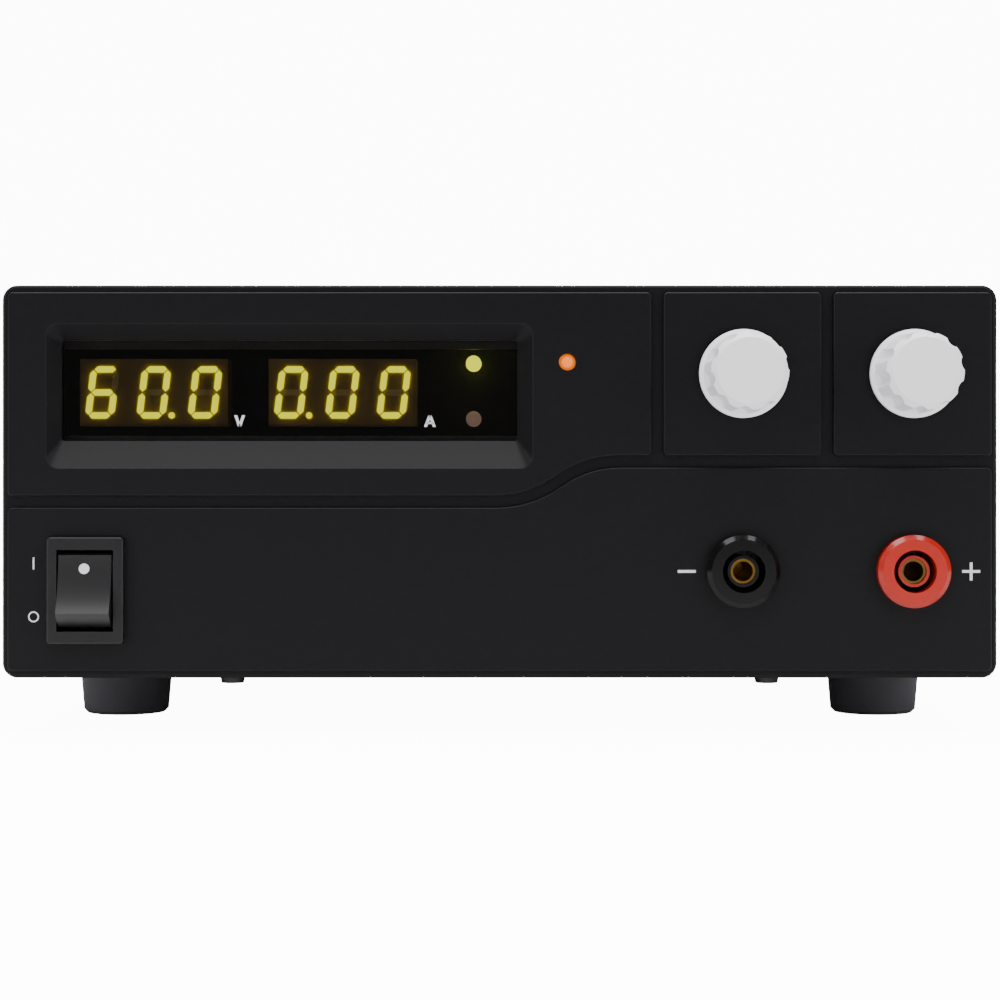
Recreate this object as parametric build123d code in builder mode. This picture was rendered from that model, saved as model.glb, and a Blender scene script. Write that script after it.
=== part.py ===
"""Bench power supply: a moulded front bezel on a folded sheet-metal case with four rubber feet.

The front carries a power rocker, two digit displays behind a dark window, three lamps, two push-and-turn
knobs and two 4 mm safety sockets. The rear carries the fan, the mains inlet with its fuse drawer, two
binding posts, a slide switch and a control socket.

Millimetres. X is to the user's right, -Y faces the user and +Z is up. The origin is on the bench, under
the middle of the whole object.
"""

import os
from math import atan2, cos, degrees, radians, sin, tan

from build123d import *

os.makedirs("parts", exist_ok=True)

# Overall sizes
bezel_width = 200.0
bezel_height = 79.0
body_depth = 182.0  # tile faces to the rear wall's outer face
knob_reach = 14.5  # knob face in front of the tile faces
post_reach = 18.5  # binding posts behind the rear wall
foot_height = 11.5
case_inset = 0.5  # the sheet-metal case lies this far inside the bezel's outline
sheet = 1.2  # thickness of every folded sheet
bend_radius = 0.8  # inner radius of a fold
sheet_gap = 0.1  # between two folded sheets that lie against each other
running_gap = 0.05  # radial clearance of a shaft or a screw in its hole
fit_gap = 0.15  # clearance of a piece in its cut-out
moving_gap = 0.35  # between a moving piece and the walls round it

overall_depth = knob_reach + body_depth + post_reach
face_y = knob_reach - overall_depth / 2
rear_y = face_y + body_depth
rear_inner_y = rear_y - sheet
bezel_bottom = foot_height - case_inset
bezel_top = bezel_bottom + bezel_height
bezel_middle = bezel_bottom + bezel_height / 2

# Front bezel
bezel_depth = 9.0
bezel_corner = 3.0
bezel_edge = 0.7
bezel_wall = 2.2
skirt_wall = 1.5
tile_rise = 1.2
tile_side_margin = 1.3
tile_end_margin = 1.5
tile_corner = 1.0
tile_edge = 0.4
groove = 2.3
knob_tile_width = 31.8
groove_low_share = 0.4487  # groove's centre line, as a share of the bezel's height, left of the step
groove_high_share = 0.5506  # and right of it
step_run = 24.8
step_inset = 6.4  # from the step's right end to the display tile's right edge

groove_low = bezel_height * groove_low_share
groove_high = bezel_height * groove_high_share
tile_left = tile_side_margin - bezel_width / 2
tile_right = bezel_width / 2 - tile_side_margin
tile_top = bezel_height - tile_end_margin
current_left = tile_right - knob_tile_width
voltage_left = current_left - groove - knob_tile_width
display_right = voltage_left - groove
voltage_x = voltage_left + knob_tile_width / 2
current_x = current_left + knob_tile_width / 2
knob_z = bezel_bottom + (groove_high + groove / 2 + tile_top) / 2
step_end = display_right - step_inset
step_start = step_end - step_run
step_rise = groove_high - groove_low
step_radius = (step_run**2 + step_rise**2) / (4 * step_rise)
step_turn = degrees(2 * atan2(step_rise, step_run))
columns = (voltage_x, current_x)

# Display window and the sloped recess round it
window_left_inset = 11.6  # from the bezel's left edge
window_right_inset = 26.9  # from the display tile's right edge
window_top_inset = 11.0  # from the bezel's top edge
window_bottom_inset = 12.25  # above the groove's centre line left of the step
recess_left = 2.6
recess_right = 3.1
recess_top = 3.2
recess_bottom = 5.7
recess_corner = 2.5
recess_depth = 4.2
recess_land = 0.6
pane_overlap = 1.5  # the pane's hidden margin behind the frame
pane_thickness = 1.6
window_frame_wall = 1.4
window_frame_depth = 6.3
window_width = display_right - window_right_inset + bezel_width / 2 - window_left_inset
window_height = bezel_height - window_top_inset - groove_low - window_bottom_inset
window_x = window_left_inset + window_width / 2 - bezel_width / 2
window_z = bezel_top - window_top_inset - window_height / 2
recess_width = window_width + recess_left + recess_right
recess_height = window_height + recess_top + recess_bottom
recess_x = window_x + (recess_right - recess_left) / 2
recess_z = window_z + (recess_top - recess_bottom) / 2

# Front plate, the folded sheet behind the bezel
plate_setback = 6.5
plate_gap = 0.3
plate_flange = 10.0
plate_y = face_y + plate_setback
plate_rear_y = plate_y + sheet
plate_half_width = bezel_width / 2 - skirt_wall - plate_gap
plate_top = bezel_top - skirt_wall - plate_gap
bezel_boss_radius = 2.5
bezel_boss_inset = 40.0  # from the bezel's sides
bezel_boss_top_inset = 3.4  # boss axis from the skirt's inner face
bezel_boss_bottom_inset = 5.6
bezel_boss_x = bezel_width / 2 - bezel_boss_inset

# Sheet-metal case
cover_bend = 1.5
chassis_flange = 12.0
chassis_relief = 3.0
case_half_width = bezel_width / 2 - case_inset
case_bottom = foot_height
case_top = bezel_top - case_inset
case_front_y = face_y + bezel_depth + plate_gap
chassis_half_width = case_half_width - sheet - sheet_gap
floor_z = case_bottom + sheet
slot_length = 34.0
slot_width = 3.0
slot_pitch = 8.0
slot_count = 10
slot_raise = 41.0  # slots' middle above the case's bottom
slot_setback = 78.0  # slots' middle behind the tile faces

# Feet
foot_top_radius = 10.1
foot_bottom_radius = 9.2
foot_edge = 0.8
foot_floor = 3.0  # rubber between the screw's head and the chassis
foot_recess_radius = 4.2
foot_side_inset = 18.0  # from the bezel's sides
foot_front_inset = 43.0
foot_rear_inset = 30.0
foot_x = bezel_width / 2 - foot_side_inset

# M3 and M4 screws
screw_radius = 1.5
screw_length = 5.0
screw_head_radius = 2.8
screw_head_height = 2.4
screw_hole = screw_radius + running_gap
sunk_head_radius = 2.6
sunk_head_height = 1.0
sunk_length = 5.5
large_screw_radius = 2.0
large_screw_length = 8.0
large_head_radius = 3.7
large_head_height = 2.0
large_screw_hole = large_screw_radius + running_gap
cover_screw_inset = 22.0  # from the case's front and rear edges
cover_screw_raise = 7.0  # above the case's bottom
front_screw_inset = 45.0  # from the bezel's sides
front_screw_x = bezel_width / 2 - front_screw_inset

# Knobs and encoders
knob_radius = 8.85
knob_skirt = 1.3
knob_neck_radius = 8.1  # at the skirt
knob_tip_radius = 7.6  # where the front edge starts to round
knob_shoulder = 0.4
knob_edge = 1.1
knob_height = 13.4
knob_flutes = 10
knob_flute_radius = 1.9
knob_flute_depth = 0.6
knob_phase = 11.0
knob_wall = 1.5
hub_radius = 4.6
hub_setback = 0.8
shaft_radius = 3.0
shaft_flat = 0.9
encoder_side = 12.4
encoder_depth = 6.5
encoder_back = 0.8
bushing_radius = 3.5
bushing_reach = 5.2  # in front of the front plate
bushing_clearance = 1.0
encoder_nut_radius = 5.6
encoder_nut_height = 2.0
shaft_engagement = 2.4
plunger_length = 2.4

# Power switch
switch_width = 15.4
switch_height = 21.4
switch_corner = 0.8
switch_flange = 2.0
switch_left_inset = 17.2
switch_bottom_inset = 17.7
switch_body_width = 13.0
switch_body_height = 19.0
switch_body_depth = 14.0
switch_mouth_width = 11.3
switch_mouth_height = 16.3
switch_mouth_depth = 9.5
rocker_radius = 7.8
rocker_half_angle = 50.0
rocker_tilt = 16.0
rocker_hollow = 0.7
rocker_back_angle = 100.0
rocker_setback = 3.5  # pivot behind the flange's front
rocker_pin_radius = 1.2
rocker_pin_length = 1.05
terminal_width = 4.8
terminal_thickness = 0.8
terminal_length = 8.0
terminal_pitch = 6.5
terminal_embedded = 2.0
switch_x = switch_left_inset - bezel_width / 2
switch_z = bezel_bottom + switch_bottom_inset

# Front 4 mm safety sockets
socket_bottom_inset = 21.55
socket_flange_radius = 7.3
socket_flange = 3.0
socket_flange_edge = 0.9
socket_barrel_radius = 5.9
socket_well_radius = 4.25
socket_sleeve_radius = 3.15
socket_sleeve_setback = 1.6
socket_depth = 23.0  # barrel behind the tile face
socket_floor = 1.6
contact_bore = 2.0
contact_wall = 0.5
contact_bore_depth = 20.0
contact_tail = 6.0
contact_tail_radius = 1.4
contact_setback = 2.4
socket_nut_radius = 8.2
socket_nut_height = 3.0
socket_z = bezel_bottom + socket_bottom_inset

# Digit displays, lamps and the front board
module_gap = 0.4  # behind the pane
module_cutout_margin = 2.0
module_inset = 3.2  # first module's edge from the window's left edge
module_spacing = 8.3  # between the two modules
lamp_column = 20.5  # the window's right stretch, kept for the lamps
module_margin = 3.35  # window above and below the modules
module_drop = 0.25  # module's centre under the window's
digit_margin = 1.5  # module above and below its digits
digit_pitch_share = 0.347  # of the module's width
digit_width_share = 0.567  # of the pitch
segment_share = 0.212  # segment's width, of the digit's
segment_gap_share = 0.16  # of the segment's width
digit_slant = 7.0
segment_rise = 0.3
lamp_radius = 1.55
lamp_flange_radius = 1.95
lamp_flange = 0.8
lamp_length = 5.2
lamp_dome = 1.0
lead_side = 0.5
lead_spacing = 2.54
lamp_inset = 8.9  # cv and cc lamps' axis from the window's right edge
lamp_spacing_share = 0.557  # from the cv lamp down to the cc lamp, as a share of the window's height
lamp_rise = 0.1  # the lamps' middle above the window's
rear_lamp_inset = 16.9  # from the display tile's right edge
rear_lamp_top_inset = 15.5  # from the bezel's top edge
rear_lamp_setback = 0.2
front_board_side_margin = 6.0
front_board_top_margin = 3.0
front_board_clearance = 3.0  # above the sockets' nuts
board_thickness = 1.6
spacer_side_inset = 12.0  # from the bezel's sides
spacer_inset = 5.0
spacer_x = bezel_width / 2 - spacer_side_inset
module_y = face_y + recess_depth + pane_thickness + module_gap
module_z = window_z - module_drop
module_width = (window_width - module_inset - module_spacing - lamp_column) / 2
module_height = window_height - 2 * module_margin
digit_height = module_height - 2 * digit_margin
digit_pitch = module_width * digit_pitch_share
digit_width = digit_pitch * digit_width_share
segment_width = digit_width * segment_share
segment_gap = segment_width * segment_gap_share
point_radius = segment_width / 2
front_board_y = plate_rear_y + encoder_depth
front_board_top = bezel_top - front_board_top_margin
front_board_bottom = socket_z + socket_nut_radius + front_board_clearance
rear_lamp_x = display_right - rear_lamp_inset
rear_lamp_z = bezel_top - rear_lamp_top_inset
lamp_x = window_x + window_width / 2 - lamp_inset
lamp_spacing = window_height * lamp_spacing_share
cv_lamp_z = window_z + lamp_rise + lamp_spacing / 2
cc_lamp_z = window_z + lamp_rise - lamp_spacing / 2

# Rear wall layout, X as seen from the front
inlet_side_inset = 35.5  # from the case's left side
inlet_raise = 28.5  # above the case's bottom
fan_offset = 4.0  # from the case's middle
fan_drop = 0.5
positive_post_inset = 16.5  # from the case's right side
post_spacing_share = 0.14  # of the bezel's width
post_raise = 22.5
control_top_inset = 21.5  # from the case's top
inlet_x = inlet_side_inset - case_half_width
inlet_z = case_bottom + inlet_raise
fan_x = fan_offset
fan_z = (case_bottom + case_top) / 2 - fan_drop
positive_post_x = case_half_width - positive_post_inset
negative_post_x = positive_post_x - bezel_width * post_spacing_share
post_z = case_bottom + post_raise
control_x = positive_post_x
control_z = case_top - control_top_inset
mode_x = negative_post_x
mode_z = control_z

# Fan
fan_margin = 9.0  # between the frame and the case's top and bottom
fan_depth = 20.0
fan_corner = 4.0
fan_duct_wall = 1.4
fan_wall_lip = 0.6  # the rear wall's hole is this much smaller than the duct
fan_hole_inset = 5.0
fan_hub_radius = 13.5
fan_hub_edge = 1.0
fan_blades = 7
fan_blade_thickness = 1.3
fan_root_angle = 52.0
fan_tip_angle = 30.0
fan_blade_clearance = 0.9
fan_blade_setback = 4.4  # blades behind the frame's outer face
fan_shaft_radius = 1.5
fan_shaft_length = 3.4
fan_struts = 4
fan_strut = 3.2
fan_strut_overlap = 1.0  # a strut's end inside the duct's wall
fan_motor_depth = 4.0
fan_motor_gap = 0.6
guard_wire = 1.5
guard_rings = 4
guard_inner_radius = 7.5
guard_edge_margin = 1.0  # outer ring inside the rear wall's hole
guard_standoff = 2.0
guard_eye_radius = 4.0

fan_side = case_top - case_bottom - 2 * fan_margin
fan_duct_radius = fan_side / 2 - fan_duct_wall
fan_wall_radius = fan_duct_radius - fan_wall_lip
fan_hole_pitch = fan_side - 2 * fan_hole_inset
guard_outer_radius = fan_wall_radius - guard_edge_margin

# Mains inlet with fuse drawer
inlet_flange_width = 49.0
inlet_flange_height = 34.0
inlet_ear_height = 15.0
inlet_corner = 3.0
inlet_flange = 2.6
inlet_flange_margin = 2.0
inlet_body_width = 28.0
inlet_body_height = 31.0
inlet_body_depth = 24.0
inlet_mouth_width = 24.2
inlet_mouth_height = 16.6
inlet_mouth_depth = 17.0
inlet_mouth_bevel = 4.5
inlet_mouth_drop = 5.6  # mouth's centre under the inlet's centre
inlet_ear_pitch = 40.0
pin_width = 2.0
pin_height = 4.0
pin_length = 15.5
pin_spacing = 7.0
pin_offset = 2.0
pin_tail = 8.0
drawer_width = 23.6
drawer_height = 8.0
drawer_depth = 15.0
drawer_lip = 1.4
drawer_lip_margin = 1.0
drawer_raise = 9.2  # drawer's centre above the inlet's centre
drawer_floor = 1.2
drawer_front_wall = 3.0
fuse_radius = 2.6
fuse_glass_radius = 2.3
fuse_length = 20.0
fuse_cap = 5.0

# Rear binding posts
post_base_radius = 8.4
post_base = 4.4
post_base_edge = 0.8
post_spigot_radius = 5.0
post_washer_radius = 7.6
post_washer = 1.6
post_flange_radius = 5.2
post_flange = 1.0
post_stud_radius = 3.9
post_bore = 2.0
post_bore_depth = 12.0
post_tail_radius = 2.4
post_tail = 11.0  # behind the rear wall's outer face
post_tip_setback = 1.0
post_collar_radius = 7.0
post_collar = 1.5
post_cap_radius = 7.9
post_cap_edge = 0.9
post_cap_flutes = 8
post_flute_radius = 1.6
post_flute_depth = 0.6
post_nut_radius = 5.0
post_nut_height = 3.0

# Rear slide switch and control socket
mode_body_width = 16.0
mode_body_height = 9.0
mode_body_depth = 6.0
mode_travel = 2.0  # each way
mode_slider_width = 4.0
mode_slider_height = 3.4
mode_slider_reach = 3.0
mode_foot_margin = 1.5  # the hidden foot is this much larger all round
mode_foot_thickness = 1.6
control_radius = 7.6
control_flange = 1.5
control_thread_radius = 6.6
control_reach = 8.5
control_mouth_radius = 5.4
control_mouth_depth = 8.2
control_tail = 7.0
control_pin_radius = 0.6
control_pin_length = 3.2
control_pin_circle = 3.4
control_pins = 7  # on the circle, round one in the middle

# Main board and what stands on it
standoff_height = 8.0
standoff_radius = 3.0
main_board_side_margin = 21.5  # from the case's sides
main_board_front = 31.0  # behind the tile faces
main_board_rear = 35.0  # in front of the rear wall's outer face
board_hole_inset = 5.0
sink_margin = 19.0  # the main board in front of and behind the heat sinks
tall_part_clearance = 25.2  # above the heat sinks and the transformer, under the cover
sink_base = 3.0
sink_fin = 1.4
sink_fin_length = 13.0
sink_fins = 7
sink_inset = 41.0  # inner face from the main board's sides
core_width = 42.0
core_depth = 20.0
core_leg = 6.0
core_centre = 12.0
core_setback_share = 0.26  # in front of the main board's middle, of the board's depth
coil_wall = 7.0
coil_corner = 5.0
can_inset = 12.0  # from the main board's sides
can_spacing_share = 0.24  # of the main board's depth
bulk_cans = 2
bulk_radius = 12.5
bulk_drop = 6.0  # bulk capacitors under the heat sinks' tops
output_cans = 3
output_radius = 8.0
output_drop = 12.0
can_groove = 0.6
transistors = 3
transistor_spacing_share = 0.31  # of the heat sink's length
transistor_width = 15.5
transistor_height = 20.5
transistor_depth = 4.8
transistor_lead = 5.0
transistor_lead_spacing = 5.45
transistor_lead_width = 1.2
transistor_lead_thickness = 0.7
main_board_width = 2 * (case_half_width - main_board_side_margin)
main_board_depth = body_depth - main_board_front - main_board_rear
sink_x = main_board_width / 2 - sink_inset
can_x = main_board_width / 2 - can_inset
board_z = floor_z + standoff_height
board_top = board_z + board_thickness
tall_part_height = case_top - board_top - tall_part_clearance
sink_length = main_board_depth - 2 * sink_margin
sink_height = tall_part_height
transistor_spacing = sink_length * transistor_spacing_share
core_setback = main_board_depth * core_setback_share
can_spacing = main_board_depth * can_spacing_share
core_height = tall_part_height
bulk_height = tall_part_height - bulk_drop
output_height = tall_part_height - output_drop
board_y = face_y + main_board_front + main_board_depth / 2

FRONT, REAR = -1, 1
boss_heights = (
    bezel_bottom + skirt_wall + bezel_boss_bottom_inset,
    bezel_top - skirt_wall - bezel_boss_top_inset,
)
bezel_boss_places = [(side * bezel_boss_x, z) for side in (-1, 1) for z in boss_heights]
foot_rows = {"front": face_y + foot_front_inset, "rear": rear_y - foot_rear_inset}
foot_sides = {"left": -foot_x, "right": foot_x}
foot_places = [(x, y) for y in foot_rows.values() for x in foot_sides.values()]
front_screw_y = plate_rear_y + plate_flange / 2
front_screw_places = [(-front_screw_x, front_screw_y), (front_screw_x, front_screw_y)]
cover_screw_z = case_bottom + cover_screw_raise
cover_screw_rows = (
    case_front_y + cover_screw_inset,
    (case_front_y + rear_y) / 2,
    rear_y - cover_screw_inset,
)
board_hole_x = main_board_width / 2 - board_hole_inset
board_hole_y = main_board_depth / 2 - board_hole_inset
board_holes = [(i * board_hole_x, board_y + j * board_hole_y) for i in (-1, 1) for j in (-1, 1)]
spacer_places = [
    (-spacer_x, front_board_bottom + spacer_inset),
    (-spacer_x, front_board_top - spacer_inset),
    (spacer_x, front_board_bottom + spacer_inset),
]
inlet_ears = [(inlet_x + side * inlet_ear_pitch / 2, inlet_z) for side in (-1, 1)]
post_columns = {"negative": negative_post_x, "positive": positive_post_x}


def front_plane(y, x=0.0, z=0.0):
    """A sketch plane that faces the user: local x is X, local y is Z, and forward is positive."""
    return Plane(origin=(x, y, z), x_dir=(1, 0, 0), z_dir=(0, -1, 0))


def panel_profile(x, y, z, facing):
    """The half-section plane of a piece turned about Y: x is its radius, y leaves the panel."""
    return Plane(origin=(x, y, z), x_dir=(1, 0, 0), z_dir=(0, 0, facing))


def upright_profile(x, y, z):
    """The half-section plane of a piece turned about Z: x is its radius and y its height."""
    return Plane(origin=(x, y, z), x_dir=(1, 0, 0), z_dir=(0, -1, 0))


def side_profile(place, outward):
    """The half-section plane of a piece turned about the outward direction through place."""
    across = Plane(origin=place, z_dir=outward).x_dir
    return Plane(origin=place, x_dir=across, z_dir=across.cross(Vector(*outward)))


def turn(plane, *outline, mode=Mode.ADD):
    """Turns the half section with these (radius, height) corners about the plane's upright axis."""
    with BuildSketch(plane) as section:
        with BuildLine():
            Polyline(*outline, close=True)
        make_face()
    revolve(section.sketch, axis=Axis(plane.origin, plane.y_dir), mode=mode)


def folded_sheet(plane, width, *corners, bend=bend_radius):
    """A folded sheet: the path of its middle layer, given its thickness and extruded to its width."""
    with BuildSketch(plane) as section:
        with BuildLine():
            FilletPolyline(*corners, radius=bend + sheet / 2)
        trace(line_width=sheet)
    extrude(section.sketch, amount=width)


def pan_screw(place, outward, radius, head_radius, head_height, length):
    """A screw whose head's underside is at place, with the head towards outward."""
    seat = Plane(origin=place, z_dir=outward)
    with BuildSketch(seat) as head:
        Circle(head_radius)
    extrude(head.sketch, amount=head_height)
    with BuildSketch(seat) as shank:
        Circle(radius)
    extrude(shank.sketch, amount=-length)


def small_screw(place, outward):
    pan_screw(place, outward, screw_radius, screw_head_radius, screw_head_height, screw_length)


def large_screw(place, outward):
    pan_screw(
        place, outward, large_screw_radius, large_head_radius, large_head_height, large_screw_length
    )


def sunk_screw(place, outward):
    """A countersunk screw whose flat head is flush with the surface at place."""
    turn(
        side_profile(place, outward),
        (0, 0),
        (sunk_head_radius, 0),
        (screw_radius, -sunk_head_height),
        (screw_radius, -sunk_length),
        (0, -sunk_length),
    )


def sunk_hole(place, outward, depth):
    """The seat of a countersunk screw, through this depth of material."""
    turn(
        side_profile(place, outward),
        (0, 0),
        (sunk_head_radius + running_gap, 0),
        (screw_hole, -sunk_head_height),
        (screw_hole, -depth),
        (0, -depth),
        mode=Mode.SUBTRACT,
    )


def finish(part, name):
    """Labels a finished piece and writes it as its own STEP file."""
    part.label = name
    export_step(part, f"parts/{name}.step")


# Front bezel: a plate with a skirt, four raised tiles and a sloped recess for the display window
def groove_edge(side):
    """The stepped edge above (+1) or below (-1) the groove: its low arc, then its high arc."""
    low = CenterArc(
        (step_start, groove_low + step_radius), step_radius - side * groove / 2, -90, step_turn
    )
    high = CenterArc(
        (step_end, groove_high - step_radius), step_radius + side * groove / 2, 90, step_turn
    )
    return low, high


def stepped_tile(side, right_edge, far_edge):
    """A tile that fills the bezel from the groove's stepped edge to far_edge, with round corners."""
    with BuildSketch(front_plane(face_y + tile_rise, 0, bezel_bottom)) as tile:
        with BuildLine():
            low_arc, high_arc = groove_edge(side)
            Polyline(
                low_arc @ 0,
                (tile_left, (low_arc @ 0).Y),
                (tile_left, far_edge),
                (right_edge, far_edge),
                (right_edge, (high_arc @ 0).Y),
                high_arc @ 0,
            )
        make_face()
        ends = tile.vertices().group_by(Axis.X)
        fillet(ends[0] + ends[-1], radius=tile_corner)
    extrude(tile.sketch, amount=tile_rise)


with BuildPart() as front_bezel:
    with BuildSketch(front_plane(face_y + bezel_depth, 0, bezel_middle)):
        RectangleRounded(bezel_width, bezel_height, bezel_corner)
    extrude(amount=bezel_depth - tile_rise)
    fillet(front_bezel.faces().sort_by(Axis.Y)[0].edges(), radius=bezel_edge)

    stepped_tile(1, display_right, tile_top)
    stepped_tile(-1, tile_right, tile_end_margin)
    with BuildSketch(front_plane(face_y + tile_rise)):
        with Locations(*[(x, knob_z) for x in columns]):
            RectangleRounded(knob_tile_width, tile_top - groove_high - groove / 2, tile_corner)
    extrude(amount=tile_rise)

    # Sloped recess, then the rounded edges of every tile and of the recess
    with BuildSketch(front_plane(face_y, recess_x, recess_z)):
        RectangleRounded(recess_width, recess_height, recess_corner)
    with BuildSketch(front_plane(face_y + tile_rise + bezel_wall, window_x, window_z)):
        RectangleRounded(window_width, window_height, recess_land)
    loft(mode=Mode.SUBTRACT)
    fillet(front_bezel.faces().group_by(Axis.Y)[0].edges(), radius=tile_edge)

    # Hollow back, and the window's frame with the pane's seat
    with BuildSketch(front_plane(face_y + bezel_depth, 0, bezel_middle)):
        RectangleRounded(
            bezel_width - 2 * skirt_wall, bezel_height - 2 * skirt_wall, bezel_corner - skirt_wall
        )
    extrude(amount=bezel_depth - tile_rise - bezel_wall, mode=Mode.SUBTRACT)
    with BuildSketch(front_plane(face_y + window_frame_depth, recess_x, recess_z)):
        Rectangle(recess_width + 2 * window_frame_wall, recess_height + 2 * window_frame_wall)
    extrude(amount=window_frame_depth - tile_rise - bezel_wall)
    with BuildSketch(front_plane(face_y, window_x, window_z)):
        RectangleRounded(window_width, window_height, recess_land)
    extrude(amount=-window_frame_depth, mode=Mode.SUBTRACT)
    seat_margin = 2 * (pane_overlap + fit_gap)
    with BuildSketch(front_plane(face_y + window_frame_depth, window_x, window_z)):
        Rectangle(window_width + seat_margin, window_height + seat_margin)
    extrude(amount=window_frame_depth - recess_depth, mode=Mode.SUBTRACT)

    # Bosses that the front plate is screwed to, then every hole in the face
    with BuildSketch(front_plane(plate_y)):
        with Locations(*bezel_boss_places):
            Circle(bezel_boss_radius)
    extrude(amount=plate_setback - tile_rise - bezel_wall)
    with BuildSketch(front_plane(plate_y)):
        with Locations(*bezel_boss_places):
            Circle(screw_hole)
    extrude(amount=screw_length - sheet + running_gap, mode=Mode.SUBTRACT)
    with BuildSketch(front_plane(face_y)):
        with Locations((switch_x, switch_z)):
            Rectangle(switch_body_width + 2 * fit_gap, switch_body_height + 2 * fit_gap)
        with Locations(*[(x, knob_z) for x in columns]):
            Circle(bushing_radius + bushing_clearance)
        with Locations(*[(x, socket_z) for x in columns]):
            Circle(socket_barrel_radius + fit_gap)
        with Locations((rear_lamp_x, rear_lamp_z)):
            Circle(lamp_radius + fit_gap)
    extrude(amount=-(tile_rise + bezel_wall), mode=Mode.SUBTRACT)
finish(front_bezel.part, "front_bezel")

# Display window: a dark acrylic pane seated behind the frame
with BuildPart() as display_window:
    with BuildSketch(front_plane(face_y + recess_depth + pane_thickness, window_x, window_z)):
        Rectangle(window_width + 2 * pane_overlap, window_height + 2 * pane_overlap)
    extrude(amount=pane_thickness)
finish(display_window.part, "display_window")

# Front plate: a folded sheet that carries the encoders and the sockets, screwed to the case's floor
plate_fold = floor_z + sheet + bend_radius
with BuildPart() as front_plate:
    flange_half_width = chassis_half_width - sheet - sheet_gap - bend_radius
    folded_sheet(
        Plane.YZ.offset(-flange_half_width),
        2 * flange_half_width,
        (plate_y + sheet / 2, bezel_middle),
        (plate_y + sheet / 2, floor_z + sheet / 2),
        (plate_rear_y + plate_flange, floor_z + sheet / 2),
    )
    with BuildSketch(front_plane(plate_rear_y, 0, (plate_fold + plate_top) / 2)) as plate:
        Rectangle(2 * plate_half_width, plate_top - plate_fold)
        fillet(plate.vertices().group_by(Axis.Y)[-1], radius=bezel_corner - skirt_wall)
    extrude(amount=sheet)
    with BuildSketch(front_plane(plate_y)):
        with Locations((window_x, module_z)):
            Rectangle(window_width, module_height + 2 * module_cutout_margin)
        with Locations((switch_x, switch_z)):
            Rectangle(switch_body_width + 4 * fit_gap, switch_body_height + 4 * fit_gap)
        with Locations(*[(x, knob_z) for x in columns]):
            Circle(bushing_radius + running_gap)
        with Locations(*[(x, socket_z) for x in columns]):
            Circle(socket_barrel_radius + fit_gap)
        with Locations((rear_lamp_x, rear_lamp_z)):
            Circle(lamp_flange_radius + 4 * fit_gap)
        with Locations(*bezel_boss_places):
            Circle(screw_hole)
    extrude(amount=-sheet, mode=Mode.SUBTRACT)
    with BuildSketch(Plane.XY.offset(floor_z)):
        with Locations(*front_screw_places):
            Circle(screw_hole)
    extrude(amount=sheet, mode=Mode.SUBTRACT)
finish(front_plate.part, "front_plate")

# Chassis: the floor with two side flanges, folded up into the rear wall
floor_fold = floor_z + bend_radius
rear_wall_top = case_top - sheet - sheet_gap
with BuildPart() as chassis:
    flange_x = chassis_half_width - sheet / 2
    folded_sheet(
        front_plane(rear_y - chassis_relief),
        rear_y - chassis_relief - case_front_y,
        (-flange_x, case_bottom + chassis_flange),
        (-flange_x, case_bottom + sheet / 2),
        (flange_x, case_bottom + sheet / 2),
        (flange_x, case_bottom + chassis_flange),
    )
    rear_half_width = chassis_half_width - sheet - bend_radius
    folded_sheet(
        Plane.YZ.offset(-rear_half_width),
        2 * rear_half_width,
        (case_front_y, case_bottom + sheet / 2),
        (rear_y - sheet / 2, case_bottom + sheet / 2),
        (rear_y - sheet / 2, bezel_middle),
    )
    with BuildSketch(front_plane(rear_y, 0, (floor_fold + rear_wall_top) / 2)) as rear_wall:
        Rectangle(2 * chassis_half_width, rear_wall_top - floor_fold)
        fillet(rear_wall.vertices().group_by(Axis.Y)[-1], radius=cover_bend)
    extrude(amount=sheet)

    with BuildSketch(Plane.XY.offset(case_bottom)):
        with Locations(*foot_places):
            Circle(large_screw_hole)
        with Locations(*front_screw_places):
            Circle(screw_hole)
    extrude(amount=sheet, mode=Mode.SUBTRACT)
    with BuildSketch(Plane.YZ.offset(-chassis_half_width)):
        with Locations(*[(y, cover_screw_z) for y in cover_screw_rows]):
            Circle(screw_hole)
    extrude(amount=2 * chassis_half_width, mode=Mode.SUBTRACT)
    with BuildSketch(front_plane(rear_y)):
        with Locations((inlet_x, inlet_z)):
            Rectangle(inlet_body_width + 2 * fit_gap, inlet_body_height + 2 * fit_gap)
        with Locations((fan_x, fan_z)):
            Circle(fan_wall_radius)
            with GridLocations(fan_hole_pitch, fan_hole_pitch, 2, 2):
                Circle(large_screw_hole)
        with Locations(*inlet_ears):
            Circle(screw_hole)
        with Locations(*[(x, post_z) for x in post_columns.values()]):
            Circle(post_spigot_radius + running_gap)
        with Locations((mode_x, mode_z)):
            Rectangle(
                mode_slider_width + 2 * (mode_travel + moving_gap), mode_slider_height + 2 * moving_gap
            )
        with Locations((control_x, control_z)):
            Circle(control_thread_radius + running_gap)
    extrude(amount=sheet, mode=Mode.SUBTRACT)
finish(chassis.part, "chassis")

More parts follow.
